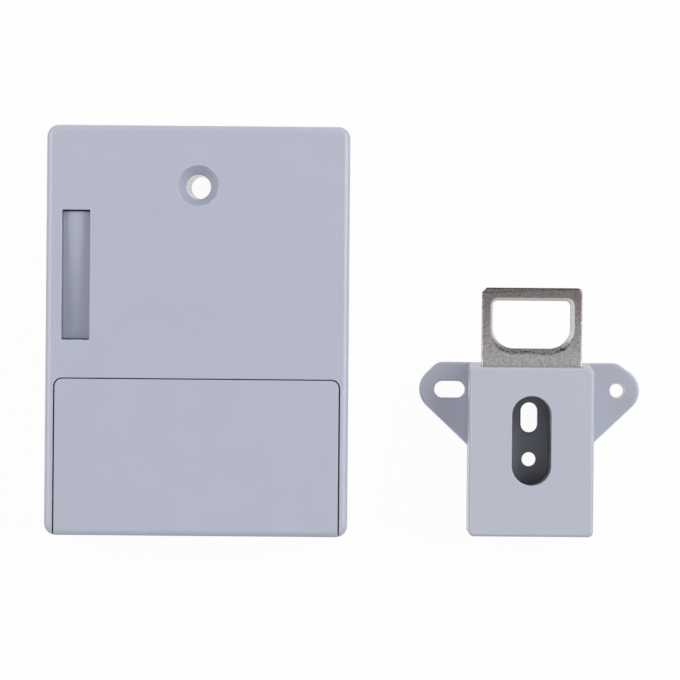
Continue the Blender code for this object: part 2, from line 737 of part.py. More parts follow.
def make_battery_cover(unit, finish):
    low = (-half_width, -half_length, shell_low)
    high = (half_width, half_length, LOCK_DEPTH)
    cover = rounded_block("battery_cover", low, high, LOCK_CORNER, LOCK_RIM, unit, finish)
    over = LOCK_DEPTH + CUT
    region_low = (-cover_half, -half_length - LOCK_CORNER)
    outline = rounded_rectangle(region_low, (cover_half, cover_edge), WELD, COVER_CORNER)
    region = prism("cover_region", [outline], -CUT, over, unit)
    combine(cover, "INTERSECT", region)
    under = LOCK_DEPTH - COVER_THICK
    hollow_low = (-half_width, end_wall_inner, -CUT)
    hollow = block("cover_hollow", hollow_low, (half_width, half_length, under), unit)
    cut(cover, hollow)
    skirt_low = end_wall_inner - COVER_END_WALL / 2
    skirt_high = cover_edge - COVER_CORNER - FIT
    for side, name in ((-1, "left"), (1, "right")):
        inner, outer = side * (cover_half - COVER_SKIRT), side * cover_half
        reach = side * (bay_half + RUNNER_REACH)
        skirt = block(
            "skirt_" + name,
            (min(inner, outer), skirt_low, runner_low),
            (max(inner, outer), skirt_high, under + COVER_THICK / 2),
            unit,
        )
        mid = side * (cover_half - COVER_SKIRT / 2)
        runner = block(
            "runner_" + name,
            (min(mid, reach), end_wall_inner + LOCK_CORNER, runner_low),
            (max(mid, reach), skirt_high - FIT, runner_low + RUNNER_THICK),
            unit,
        )
        join(cover, skirt, runner)


# Plate slot mechanism

def make_ejector(unit, finish):
    half = SLOT_WIDTH / 2 - FIT
    steps = 2 * CORNER_STEPS
    points = [(ejector_low, slot_x + half), (ejector_low, slot_x - half)]
    for i in range(steps + 1):
        share = 2 * i / steps - 1
        points.append((ejector_top - EJECTOR_CROWN * share**2, slot_x + half * share))
    ejector = prism("ejector", [points], slot_low + FIT, slot_high - FIT, unit, finish, axis="Y")
    tab_half = EJECTOR_TAB_WIDTH / 2
    tabs = block(
        "ejector_tabs",
        (slot_x - tab_half, slot_low + FIT - EJECTOR_TAB, ejector_low),
        (slot_x + tab_half, slot_high - FIT + EJECTOR_TAB, tab_top),
        unit,
    )
    pockets = cylinders(
        "spring_pockets",
        spring_places,
        SPRING_DIAMETER / 2 + FIT,
        ejector_low - CUT,
        ejector_low + SPRING_POCKET,
        unit,
    )
    join(ejector, tabs)
    cut(ejector, pockets)
    set_origin(ejector, (slot_x, slot_y, ejector_low))


def make_ejector_springs(unit, finish):
    low = REAR_THICK + FIT + SPRING_WIRE / 2
    high = ejector_low + SPRING_POCKET - FIT - SPRING_WIRE / 2
    radius = (SPRING_DIAMETER - SPRING_WIRE) / 2
    for number, (x, y) in enumerate(spring_places, 1):
        path = coil((x, y, low), (0, 0, 1), radius, radius, high - low, SPRING_TURNS)
        wire(f"ejector_spring_{number}", path, SPRING_WIRE, unit, finish)


def rack_outline():
    # Side view of the bolt, as (z, x) points: chamfered tip, rack teeth below, tail clear of the pinion
    pitch = math.tau * PITCH_RADIUS / PINION_TEETH
    first = math.ceil((bolt_tip + BOLT_CHAMFER + TOOTH_ROOT - pinion_x) / pitch - 0.5)
    last = math.floor((bolt_tail - TOOTH_ROOT - pinion_x) / pitch - 0.5)
    points = [(bolt_low + BOLT_CHAMFER, bolt_tip), (bolt_low, bolt_tip + BOLT_CHAMFER)]
    for i in range(first, last):
        left = pinion_x + (i + 0.5) * pitch
        right = left + pitch
        points.append((bolt_low, left + TOOTH_TIP / 2))
        points.append((rack_root, left + TOOTH_ROOT / 2))
        points.append((rack_root, right - TOOTH_ROOT / 2))
        points.append((bolt_low, right - TOOTH_TIP / 2))
    end = pinion_x + (last + 0.5) * pitch
    points += [(bolt_low, end + TOOTH_TIP / 2), (rack_root, end + TOOTH_ROOT / 2)]
    points += [(rack_root, bolt_tail), (bolt_top, bolt_tail)]
    points += [(bolt_top, bolt_tip + BOLT_CHAMFER), (bolt_top - BOLT_CHAMFER, bolt_tip)]
    return points


def make_bolt(unit, finish):
    bolt = prism("latch_bolt", [rack_outline()], bolt_south, bolt_north, unit, finish, axis="Y")
    flag = block(
        "bolt_flag",
        (bolt_tail - FLAG_LENGTH, slot_y - FLAG_THICK / 2, flag_low),
        (bolt_tail + FLAG_LENGTH, slot_y + FLAG_THICK / 2, flag_high),
        unit,
    )
    join(bolt, flag)
    set_origin(bolt, (bolt_tip, slot_y, bolt_low))


def make_pinion(unit, finish):
    # Gear outline as (z, x) points round the shaft, with one tooth straight up in the rack
    points = []
    root = PITCH_RADIUS - DEDENDUM
    tip = PITCH_RADIUS + ADDENDUM
    for i in range(PINION_TEETH):
        middle = math.tau * i / PINION_TEETH
        corners = ((root, -TOOTH_ROOT), (tip, -TOOTH_TIP), (tip, TOOTH_TIP), (root, TOOTH_ROOT))
        for radius, width in corners:
            angle = middle + width / (2 * radius)
            points.append((shaft_z + radius * math.cos(angle), pinion_x + radius * math.sin(angle)))
    face_low, face_high = slot_y - PINION_WIDTH / 2, slot_y + PINION_WIDTH / 2
    pinion = prism("drive_pinion", [points], face_low, face_high, unit, finish, axis="Y")
    shaft = prism(
        "pinion_shaft",
        [circle((shaft_z, pinion_x), SHAFT_DIAMETER / 2)],
        face_low - FIT,
        gearbox_y + SHAFT_SEAT,
        unit,
        axis="Y",
    )
    join(pinion, shaft)
    set_origin(pinion, (pinion_x, slot_y, shaft_z))


def make_guide(unit, finish):
    # Cross-section as (y, z) points: a bridge with shelves under the bolt's edges
    floor = bolt_low - FIT
    ceiling = bolt_top + FIT
    roof = ceiling + GUIDE_WALL
    in_south, in_north = bolt_south - FIT, bolt_north + FIT
    shelf_south, shelf_north = in_south + GUIDE_SHELF, in_north - GUIDE_SHELF
    points = [(guide_south, shell_low), (shelf_south, shell_low), (shelf_south, floor), (in_south, floor)]
    points += [(in_south, ceiling), (in_north, ceiling), (in_north, floor), (shelf_north, floor)]
    points += [(shelf_north, shell_low), (guide_north, shell_low), (guide_north, roof), (guide_south, roof)]
    guide = prism("bolt_guide", [points], guide_left, guide_right, unit, finish, axis="X")
    half = FOOT_SIZE / 2
    for (x, y), toward, name in zip(foot_places, (1, -1), ("south", "north")):
        edge = y + toward * (half + GUIDE_WALL / 2)
        far = y - toward * half
        foot = block(
            "guide_foot_" + name,
            (x - half, min(edge, far), foot_low),
            (x + half, max(edge, far), foot_top),
            unit,
        )
        join(guide, foot)
    notch = block(
        "shaft_notch",
        (pinion_x - SHAFT_DIAMETER / 2 - FIT, slot_y, -CUT),
        (pinion_x + SHAFT_DIAMETER / 2 + FIT, guide_north + CUT, shaft_z + SHAFT_DIAMETER / 2 + FIT),
        unit,
    )
    holes = cylinders(
        "guide_holes", foot_places, SMALL_SCREW["shank"] / 2 + FIT, -CUT, foot_top + CUT, unit
    )
    cut(guide, notch, holes)


def make_motor(unit, gearbox_finish, can_finish, strap_finish):
    low_x, high_x = pinion_x - MOTOR_WIDTH / 2, pinion_x + MOTOR_WIDTH / 2
    low_z, high_z = shaft_z - MOTOR_HEIGHT / 2, shaft_z + MOTOR_HEIGHT / 2
    gearbox = block(
        "motor_gearbox",
        (low_x, gearbox_y, low_z),
        (high_x, gearbox_y + GEARBOX_LENGTH, high_z),
        unit,
        gearbox_finish,
    )
    bore = prism(
        "gearbox_bore",
        [circle((shaft_z, pinion_x), SHAFT_DIAMETER / 2 + FIT)],
        gearbox_y - CUT,
        gearbox_y + SHAFT_SEAT + FIT,
        unit,
        axis="Y",
    )
    cut(gearbox, bore)
    # Round can with two flats, as (z, x) points
    radius = MOTOR_WIDTH / 2
    flat = math.degrees(math.acos(MOTOR_HEIGHT / MOTOR_WIDTH))
    steps = ROUND_STEPS // 2
    can = arc((shaft_z, pinion_x), radius, flat, 180 - flat, steps)
    can += arc((shaft_z, pinion_x), radius, 180 + flat, 360 - flat, steps)
    prism("motor", [can], motor_y, motor_end, unit, can_finish, axis="Y")
    # Strap over the can, as (z, x) points
    inner, outer = strap_half, strap_outer
    reach = strap_outer + FOOT_SIZE
    roof = high_z + FIT
    left = [(foot_low, -reach), (foot_top, -reach), (foot_top, -outer), (roof + FOOT_THICK, -outer)]
    right = [(z, -x) for z, x in reversed(left)]
    under = [(foot_low, inner), (roof, inner), (roof, -inner), (foot_low, -inner)]
    outline = [(z, pinion_x + x) for z, x in left + right + under]
    strap = prism("motor_bracket", [outline], strap_y, strap_y + STRAP_WIDTH, unit, strap_finish, axis="Y")
    holes = cylinders(
        "strap_holes", strap_places, SMALL_SCREW["shank"] / 2 + FIT, -CUT, foot_top + CUT, unit
    )
    cut(strap, holes)


def make_mechanism_screws(unit, finish):
    places = foot_places + strap_places
    copies("mechanism_screw", pan_screw(SMALL_SCREW, foot_top), places, unit, finish)


# Electronics

def make_board(unit, board_finish, screw_finish):
    right = [(board_tongue, board_south), (board_tongue, board_step), (board_right, board_step)]
    right.append((board_right, board_north))
    loops = [[(board_left, board_south)] + right + [(board_left, board_north)]]
    loops += [circle(place, BOARD_SCREW["shank"] / 2 + FIT, BOSS_STEPS) for place in board_places]
    prism("circuit_board", loops, board_low, board_top, unit, board_finish)
    copies("board_screw", pan_screw(BOARD_SCREW, board_top), board_places, unit, screw_finish)


def make_board_parts(unit, chip_finish, buzzer_finish, sensor_finish):
    seat = board_top + FIT
    chip_x = (board_left + board_right) / 2
    chip_y = (bay_wall_top + slot_y) / 2 - CHIP_SIZE / 2
    half = CHIP_SIZE / 2
    block(
        "control_chip",
        (chip_x - half, chip_y - half, seat),
        (chip_x + half, chip_y + half, seat + CHIP_THICK),
        unit,
        chip_finish,
    )
    buzzer_at = (board_right - BUZZER_DIAMETER, slot_y)
    buzzer_top = seat + BUZZER_HEIGHT
    cylinders(
        "buzzer", [buzzer_at], BUZZER_DIAMETER / 2, seat, buzzer_top, unit, buzzer_finish, ROUND_STEPS
    )
    sensor_x = bolt_tail + FLAG_LENGTH - SENSOR_LENGTH + FIT
    sensor_half = SENSOR_WIDTH / 2
    sensor = block(
        "bolt_sensor",
        (sensor_x, slot_y - sensor_half, seat),
        (sensor_x + SENSOR_LENGTH, slot_y + sensor_half, flag_high),
        unit,
        sensor_finish,
    )
    gap = block(
        "sensor_gap",
        (sensor_x - CUT, slot_y - SENSOR_GAP / 2, flag_low - SENSOR_GAP / 2),
        (sensor_x + SENSOR_LENGTH + CUT, slot_y + SENSOR_GAP / 2, flag_high + CUT),
        unit,
    )
    cut(sensor, gap)


def make_antenna(unit, finish):
    low = (tube_radius + COIL_SPACING, board_north + COIL_SPACING)
    right = half_width - CASE_BOSS_INSET - case_boss_radius - COIL_SPACING
    high = (right, half_length - CASE_WALL - COIL_SPACING)
    inner_low = (low[0] + COIL_WIDTH, low[1] + COIL_WIDTH)
    inner_high = (high[0] - COIL_WIDTH, high[1] - COIL_WIDTH)
    inner_corner = COIL_CORNER - COIL_WIDTH
    loops = [rounded_rectangle(low, high, COIL_CORNER, COIL_CORNER)]
    loops.append(rounded_rectangle(inner_low, inner_high, inner_corner, inner_corner))
    prism("antenna_coil", loops, shell_low, shell_low + COIL_THICK, unit, finish)


def make_button(unit, body_finish, button_finish):
    half = SWITCH_SIZE / 2
    seat = board_top + FIT
    x, y = button_at
    switch_top = seat + SWITCH_HEIGHT
    block("switch_body", (x - half, y - half, seat), (x + half, y + half, switch_top), unit, body_finish)
    flange_top = tray_low - FIT
    stem_low = switch_top + FIT + BUTTON_TRAVEL
    stem, flange = BUTTON_DIAMETER / 2, BUTTON_FLANGE / 2
    top = tray_top + BUTTON_PROUD
    flange_low = flange_top - BUTTON_FLANGE_THICK
    profile = [(0, top), (stem - FIT, top), (stem, top - FIT), (stem, flange_top), (flange, flange_top)]
    profile += [(flange, flange_low), (stem, flange_low), (stem, stem_low), (0, stem_low)]
    button = turned("set_button", profile, unit, button_finish)
    button.location = (x, y, 0.0)


# Battery bay

def make_tray(unit, finish):
    low = (FIT - bay_half, sill_outer)
    high = (bay_half - FIT, bay_edge - FIT)
    corner = COVER_CORNER + COVER_SEAM
    tray = prism(
        "battery_tray", [rounded_rectangle(low, high, WELD, corner)], tray_low, tray_top, unit, finish
    )
    root = tray_low + TRAY_THICK / 2
    south, north = cell_mid_y - rows_half, cell_mid_y + rows_half
    wall_top = tray_top + TRAY_WALL_HEIGHT
    for side, x in (("left", cells_left - TRAY_WALL), ("right", cells_right)):
        wall = block("tray_wall_" + side, (x, south, root), (x + TRAY_WALL, north, wall_top), unit)
        join(tray, wall)
    for i in range(CELL_COUNT - 1):
        y = (cell_rows[i] + cell_rows[i + 1]) / 2
        rib = block(
            f"tray_rib_{i + 1}",
            (cells_left + CONTACT_ROOM, y - RIB_THICK / 2, root),
            (cells_right - CONTACT_ROOM, y + RIB_THICK / 2, tray_top + RIB_HEIGHT),
            unit,
        )
        join(tray, rib)
    tubes = cylinders("bay_tubes", bay_screws, bay_tube_radius, shell_low, root, unit)
    join(tray, tubes)
    over = tray_top + CUT
    holes = cylinders(
        "bay_screw_holes", bay_screws, BAY_SCREW_DIAMETER / 2, -CUT, over, unit, steps=ROUND_STEPS
    )
    button_radius = BUTTON_DIAMETER / 2 + FIT
    button_hole = cylinders("button_hole", [button_at], button_radius, tray_low - CUT, over, unit)
    cut(tray, holes, button_hole)


def make_cells(unit, cell_finish, contact_finish, spring_finish):
    body, nub = CELL_DIAMETER / 2, CELL_NUB_DIAMETER / 2
    shoulder = CELL_LENGTH - CELL_NUB_LENGTH
    profile = [(0, CELL_LENGTH), (nub, CELL_LENGTH), (nub, shoulder), (body, shoulder), (body, 0), (0, 0)]
    flats = []
    for i, y in enumerate(cell_rows):
        toward = 1 if i % 2 == 0 else -1
        flat_end = cells_left if toward > 0 else cells_right
        base = flat_end + toward * (contact_reach + CONTACT_ROOM)
        cell = turned(f"battery_cell_{i + 1}", profile, unit, cell_finish)
        cell.location = (base, y, cell_z)
        cell.rotation_euler = (0.0, toward * math.pi / 2, 0.0)
        flats += [(cells_left + FIT, y), (cells_right - contact_reach, y)]
        start = flat_end + toward * (contact_reach + FIT + CONTACT_SPRING_WIRE / 2)
        room = CONTACT_ROOM - 2 * FIT - CONTACT_SPRING_WIRE
        wide, narrow = CONTACT_SPRING_WIDE / 2, CONTACT_SPRING_NARROW / 2
        path = coil((start, y, cell_z), (toward, 0, 0), wide, narrow, room, CONTACT_SPRING_TURNS)
        wire(f"contact_spring_{i + 1}", path, CONTACT_SPRING_WIRE, unit, spring_finish)
    half = CONTACT_SIZE / 2
    low = tray_top + FIT
    pattern = block("contact_pattern", (0, -half, low), (CONTACT_THICK, half, low + CONTACT_SIZE), None)
    copies("battery_contact", pattern, flats, unit, contact_finish)


# Catch

def ear_side():
    # Right-hand edge of the base, from the slanting edge's foot up round the ear
    centre = Vector((ear_x, EAR_ROW_Y))
    foot = Vector((catch_half_width, EAR_FOOT_Y))
    shoulder = Vector((ear_x, base_north))

    def bearing(point):
        away = point - centre
        return math.degrees(math.atan2(away.y, away.x)), math.degrees(math.acos(EAR_RADIUS / away.length))

    foot_angle, foot_turn = bearing(foot)
    shoulder_angle, shoulder_turn = bearing(shoulder)
    end = arc(centre, EAR_RADIUS, foot_angle + foot_turn, shoulder_angle - shoulder_turn, 2 * CORNER_STEPS)
    return [tuple(foot)] + end + [tuple(shoulder)]


def make_catch_base(unit, finish):
    corner_x, corner_y = catch_half_width - CATCH_CORNER, CATCH_CORNER - catch_half_length
    side = arc((corner_x, corner_y), CATCH_CORNER, 270, 360) + ear_side()
    outline = side + [(-x, y) for x, y in reversed(side)]
    slot_at = (EAR_SLOT_LENGTH / 2 - EAR_SLOT_WIDTH / 2 - ear_x, EAR_ROW_Y)
    loops = [outline, circle((ear_x, EAR_ROW_Y), EAR_HOLE_DIAMETER / 2)]
    loops.append(obround(slot_at, EAR_SLOT_LENGTH, EAR_SLOT_WIDTH))
    loops.append(obround((0.0, WELL_SLOT_Y), EAR_SLOT_WIDTH, EAR_SLOT_LENGTH))
    loops.append(circle((0.0, WELL_HOLE_Y), WELL_HOLE_DIAMETER / 2))
    base = prism("catch_base", loops, 0.0, BASE_THICK, unit, finish)
    shank = PLATE_SCREW["shank"] / 2 + FIT
    posts = cylinders(
        "plate_posts", plate_places, shank + POST_WALL, BASE_THICK / 2, plate_low - FIT, unit
    )
    join(base, posts)
    drill_low = plate_top - PLATE_SCREW["length"]
    pilots = cylinders("plate_pilots", plate_places, shank, drill_low, plate_low + CUT, unit)
    sinks = sunk_hole("catch_sink", catch_places, CASE_SCREW, BASE_THICK + CUT, unit)
    cut(base, pilots, *sinks)


def make_catch_box(unit, finish):
    low = (-catch_half_width, -catch_half_length, box_low)
    high = (catch_half_width, catch_half_length, CATCH_DEPTH)
    box = rounded_block("catch_box", low, high, CATCH_CORNER, CATCH_RIM, unit, finish, lean=CATCH_LEAN)
    inner_x, inner_y = catch_half_width - CATCH_WALL, catch_half_length - CATCH_WALL
    cavity = block(
        "box_cavity", (-inner_x, -inner_y, -CUT), (inner_x, inner_y, CATCH_DEPTH - CATCH_FACE), unit
    )
    well_at = (0.0, WELL_Y)
    well_wall = prism(
        "well_wall", [obround(well_at, well_outer_width, well_outer_length)], -2 * CUT, CATCH_DEPTH, unit
    )
    bosses = cylinders("box_bosses", catch_places, catch_boss_radius, -2 * CUT, CATCH_DEPTH, unit)
    cut(cavity, well_wall, bosses)
    well = prism("well", [obround(well_at, WELL_WIDTH, WELL_LENGTH)], -CUT, CATCH_DEPTH + CUT, unit)
    plate_way = block(
        "plate_way",
        (-PLATE_WIDTH / 2 - FIT, inner_y - CUT, plate_low - FIT),
        (PLATE_WIDTH / 2 + FIT, base_north + CUT, plate_top + FIT),
        unit,
    )
    pilot_top = CASE_SCREW_SINK + CASE_SCREW["length"] + FIT
    pilots = cylinders("box_pilots", catch_places, CASE_SCREW["shank"] / 2 + FIT, -CUT, pilot_top, unit)
    cut(box, cavity, well, plate_way, pilots)


def make_strike_plate(unit, finish):
    half = PLATE_WIDTH / 2
    low, high = (-half, -PLATE_TAIL), (half, plate_tip)
    loops = [rounded_rectangle(low, high, PLATE_CORNER, PLATE_CORNER)]
    top = plate_tip - PLATE_BAR
    hole_low, hole_high = (PLATE_BAR - half, top - STRIKE_HEIGHT), (half - PLATE_BAR, top)
    loops.append(rounded_rectangle(hole_low, hole_high, STRIKE_LOW_CORNER, STRIKE_TOP_CORNER))
    loops.append(obround((0.0, WELL_Y), well_outer_width + 2 * FIT, well_outer_length + 2 * FIT))
    loops += [circle(place, PLATE_SCREW["shank"] / 2 + FIT, BOSS_STEPS) for place in plate_places]
    prism("strike_plate", loops, plate_low, plate_top, unit, finish)


def make_catch_screws(unit, finish):
    copies("plate_screw", pan_screw(PLATE_SCREW, plate_top), plate_places, unit, finish)
    copies("catch_screw", sunk_screw(CASE_SCREW, CASE_SCREW_SINK), catch_places, unit, finish)


for old in list(bpy.data.objects):
    bpy.data.objects.remove(old)
parts = bpy.data.collections.new("electronic_cabinet_lock")
cutters = bpy.data.collections.new("cutters")
bpy.context.scene.collection.children.link(parts)
bpy.context.scene.collection.children.link(cutters)

case_grey = material("moulded ABS, blue grey", (0.46, 0.48, 0.56), 0.45)
catch_grey = material("moulded ABS, catch grey", (0.47, 0.49, 0.57), 0.45)
inner_black = material("moulded nylon, black", (0.03, 0.03, 0.035), 0.5)
inner_white = material("moulded acetal, white", (0.8, 0.8, 0.78), 0.4)
nickel = material("nickel-plated steel", (0.5, 0.49, 0.48), 0.35, 1.0)
zinc = material("zinc-plated steel", (0.55, 0.55, 0.56), 0.35, 1.0)
brass = material("brass", (0.7, 0.5, 0.22), 0.3, 1.0)
copper = material("enamelled copper winding", (0.6, 0.27, 0.12), 0.4, 1.0)
board_green = material("glass-fibre board, green lacquer", (0.03, 0.2, 0.09), 0.4)
cell_jacket = material("cell jacket, plain dark", (0.06, 0.07, 0.09), 0.35)

lock = empty("lock_unit", lock_place)
make_front_shell(lock, case_grey)
make_rear_cover(lock, case_grey)
make_case_screws(lock, zinc)
make_battery_cover(lock, case_grey)
make_ejector(lock, case_grey)
make_ejector_springs(lock, zinc)
make_bolt(lock, zinc)
make_pinion(lock, brass)
make_guide(lock, inner_white)
make_motor(lock, brass, zinc, zinc)
make_mechanism_screws(lock, zinc)
make_board(lock, board_green, zinc)
make_board_parts(lock, inner_black, inner_black, inner_black)
make_antenna(lock, copper)
make_button(lock, inner_black, inner_white)
make_tray(lock, inner_black)
make_cells(lock, cell_jacket, nickel, nickel)

catch = empty("catch_unit", catch_place)
make_catch_base(catch, catch_grey)
make_catch_box(catch, catch_grey)
make_strike_plate(catch, nickel)
make_catch_screws(catch, zinc)
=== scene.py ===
# Electronic cabinet lock set: the lock case and its catch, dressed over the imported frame.
# Units are metres; every new piece has its place in its mesh.
import json
import math

import bmesh
import bpy
import numpy as np
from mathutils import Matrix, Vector


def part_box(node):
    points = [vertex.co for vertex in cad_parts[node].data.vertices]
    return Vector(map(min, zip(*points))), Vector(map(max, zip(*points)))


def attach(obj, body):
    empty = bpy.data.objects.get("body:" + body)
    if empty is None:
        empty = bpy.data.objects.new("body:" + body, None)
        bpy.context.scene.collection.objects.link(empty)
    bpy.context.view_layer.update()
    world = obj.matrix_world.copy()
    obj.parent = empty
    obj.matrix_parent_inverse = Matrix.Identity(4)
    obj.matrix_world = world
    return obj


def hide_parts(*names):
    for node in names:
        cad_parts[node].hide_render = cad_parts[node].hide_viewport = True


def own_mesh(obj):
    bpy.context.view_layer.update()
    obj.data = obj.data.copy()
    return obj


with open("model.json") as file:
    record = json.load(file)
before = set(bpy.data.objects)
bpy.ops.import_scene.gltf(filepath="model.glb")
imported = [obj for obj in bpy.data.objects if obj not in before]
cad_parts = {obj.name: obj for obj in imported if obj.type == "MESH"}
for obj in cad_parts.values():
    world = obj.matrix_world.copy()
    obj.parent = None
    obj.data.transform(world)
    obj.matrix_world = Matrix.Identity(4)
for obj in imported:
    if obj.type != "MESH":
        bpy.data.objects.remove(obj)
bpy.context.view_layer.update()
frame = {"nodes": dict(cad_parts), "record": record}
scene = bpy.context.scene
scene.view_settings.view_transform = "Standard"
mm = 0.001
fit = 0.3 * mm  # running gap between the CAD's pieces
past = 2.0 * mm  # how far a cutter runs past the face it opens
print("frame loaded:", len(frame["nodes"]), "nodes")


# Camera: straight above the set, turned by half a degree, as in the photograph
cameraSet = {
    "place": (-1.50 * mm, -2.17 * mm, 1175.0 * mm),
    "lens": 217.4, "sensor": 36.0,  # mm
    "turn": 0.5,  # degrees
    "clip": 50.0 * mm,
}
camera = bpy.data.objects.new("camera", bpy.data.cameras.new("camera"))
camera.data.sensor_width = cameraSet["sensor"]
camera.data.lens = cameraSet["lens"]
camera.data.clip_start = cameraSet["clip"]
camera.location = cameraSet["place"]
camera.rotation_euler = (0.0, 0.0, math.radians(cameraSet["turn"]))
scene.collection.objects.link(camera)
scene.camera = camera


def srgb(code):
    # sRGB hex to linear: c / 12.92 in the dark end, ((c + 0.055) / 1.055) ** 2.4 above it
    c = np.array([int(code[i:i + 2], 16) for i in (1, 3, 5)]) / 255
    return (*np.where(c <= 0.04045, c / 12.92, ((c + 0.055) / 1.055) ** 2.4), 1.0)


def addNode(tree, kind, inputs=None, **settings):
    # One node: settings are its own options, inputs are socket values or sockets to link from
    node = tree.nodes.new(kind)
    for option, value in settings.items():
        setattr(node, option, value)
    for socket, value in (inputs or {}).items():
        if isinstance(value, bpy.types.NodeSocket):
            tree.links.new(value, node.inputs[socket])
        else:
            node.inputs[socket].default_value = value
    return node


# Light: a room with a dim ceiling and bright walls, brightest at the far side; a soft lamp at the right and a
# weaker one at the left, half way up, draw a line of light along the rims, and a small one hangs above
lightSet = {
    "walls": 1.0, "ceiling": 0.22,  # what a mirror would see at the sides and straight up
    "eaves": 0.35,  # how far up the walls begin to turn into the ceiling
    "near": 0.85, "far": 1.25,  # how much of that stands at the near and the far side
    "roomShare": 0.31,  # the part of that which lights the set
    "lamps": {
        "rightLamp": {"place": (0.78, 0.25, 0.81), "size": (0.75, 0.75), "watts": 9.2},
        "leftLamp": {"place": (-0.80, 0.15, 0.80), "size": (0.75, 0.75), "watts": 6.5},
        "topLamp": {"place": (0.10, -0.36, 1.10), "size": (0.5, 0.5), "watts": 0.65},
    },
}
for lampName, lampSet in lightSet["lamps"].items():
    lamp = bpy.data.objects.new(lampName, bpy.data.lights.new(lampName, "AREA"))
    lamp.data.shape = "RECTANGLE"
    lamp.data.size, lamp.data.size_y = lampSet["size"]
    lamp.data.energy = lampSet["watts"]
    lamp.location = lampSet["place"]
    lamp.rotation_euler = Vector(lampSet["place"]).to_track_quat("Z", "Y").to_euler()
    scene.collection.objects.link(lamp)

# The camera and glass see plain white, metal sees the room, and the set is lit by a share of it
world = bpy.data.worlds.new("paleRoom")
scene.world = world
world.use_nodes = True
tree = world.node_tree
tree.nodes.clear()
ray = addNode(tree, "ShaderNodeLightPath").outputs
towards = addNode(tree, "ShaderNodeTexCoord").outputs["Generated"]
towards = addNode(tree, "ShaderNodeSeparateXYZ", {0: towards}).outputs
level = {
    "Value": towards["Z"], "From Min": lightSet["eaves"],
    "To Min": lightSet["walls"], "To Max": lightSet["ceiling"],
}
level = addNode(tree, "ShaderNodeMapRange", level).outputs[0]
depth = {"Value": towards["Y"], "From Min": -1.0, "To Min": lightSet["near"], "To Max": lightSet["far"]}
depth = addNode(tree, "ShaderNodeMapRange", depth).outputs[0]
level = addNode(tree, "ShaderNodeMath", {0: level, 1: depth}, operation="MULTIPLY").outputs[0]
part = {"Value": ray["Is Glossy Ray"], "To Min": lightSet["roomShare"]}
part = addNode(tree, "ShaderNodeMapRange", part).outputs[0]
lit = addNode(tree, "ShaderNodeMath", {0: level, 1: part}, operation="MULTIPLY").outputs[0]
plain = {0: ray["Is Camera Ray"], 1: ray["Is Transmission Ray"]}
plain = addNode(tree, "ShaderNodeMath", plain, operation="MAXIMUM").outputs[0]
strength = addNode(tree, "ShaderNodeMath", {0: lit, 1: plain}, operation="MAXIMUM").outputs[0]
room = addNode(tree, "ShaderNodeBackground", {"Color": srgb("#ffffff"), "Strength": strength})
addNode(tree, "ShaderNodeOutputWorld", {"Surface": room.outputs[0]})


# Floor: white paper sweep, seen nearly at full white, with the set's soft shadow left on it
floorSet = {"half": 3.0, "drop": 0.02 * mm, "paper": "#f2f2f2", "seenWhite": 0.96}
floorMesh = bpy.data.meshes.new("floor")
h, z = floorSet["half"], -floorSet["drop"]
floorMesh.from_pydata([(-h, -h, z), (h, -h, z), (h, h, z), (-h, h, z)], [], [(0, 1, 2, 3)])
floor = bpy.data.objects.new("floor", floorMesh)
scene.collection.objects.link(floor)
paper = bpy.data.materials.new("matt white paper sweep")
paper.use_nodes = True
tree = paper.node_tree
tree.nodes.clear()
matt = addNode(tree, "ShaderNodeBsdfDiffuse", {"Color": srgb(floorSet["paper"])})
white = addNode(tree, "ShaderNodeEmission", {"Color": srgb("#ffffff"), "Strength": 1.0})
ray = addNode(tree, "ShaderNodeLightPath").outputs
seen = {0: ray["Is Camera Ray"], 1: ray["Is Glossy Ray"]}
seen = addNode(tree, "ShaderNodeMath", seen, operation="MAXIMUM").outputs[0]
seen = {0: seen, 1: ray["Is Transmission Ray"]}
seen = addNode(tree, "ShaderNodeMath", seen, operation="MAXIMUM").outputs[0]
amount = {0: seen, 1: floorSet["seenWhite"]}
amount = addNode(tree, "ShaderNodeMath", amount, operation="MULTIPLY").outputs[0]
mixed = addNode(tree, "ShaderNodeMixShader", {0: amount, 1: matt.outputs[0], 2: white.outputs[0]})
addNode(tree, "ShaderNodeOutputMaterial", {"Surface": mixed.outputs[0]})
floorMesh.materials.append(paper)
print("camera, light and floor set")


# Shapes: every new piece is a profile carried along a closed path, then cut by others of its kind
meshSet = {
    "hair": 0.02 * mm,  # corner of a plain block
    "sliver": 0.005 * mm,  # straight part left between an obround's half-round ends
    "weld": 0.001 * mm,  # points closer than this are one
    "softBelow": 24.0,  # degrees; sharper edges are shaded sharp
}


def outline(vertices, radius, steps):
    # Path round a polygon, counter-clockwise, each corner rounded: the arc's centre lies
    # radius / cos(half the turn) in from the corner, and a point is centre + radius * normal
    corner = np.asarray(vertices, float)
    radius = np.broadcast_to(np.asarray(radius, float), len(corner))
    ahead = np.roll(corner, -1, axis=0) - corner
    heading = np.arctan2(ahead[:, 1], ahead[:, 0])
    before = np.roll(heading, 1)
    turn = (heading - before + np.pi) % (2 * np.pi) - np.pi
    middle = before + turn / 2 - np.pi / 2
    reach = np.sign(turn) * radius
    out = np.stack([np.cos(middle), np.sin(middle)], axis=1)
    centre = corner - out * (reach / np.cos(turn / 2))[:, None]
    bearing = middle[:, None] + turn[:, None] * np.linspace(-0.5, 0.5, steps + 1)
    normal = np.stack([np.cos(bearing), np.sin(bearing)], axis=2)
    points = centre[:, None] + normal * reach[:, None, None]
    return points.reshape(-1, 2), normal.reshape(-1, 2)


def rectangle(low, high):
    # Four corners, counter-clockwise
    return [(low[0], low[1]), (high[0], low[1]), (high[0], high[1]), (low[0], high[1])]


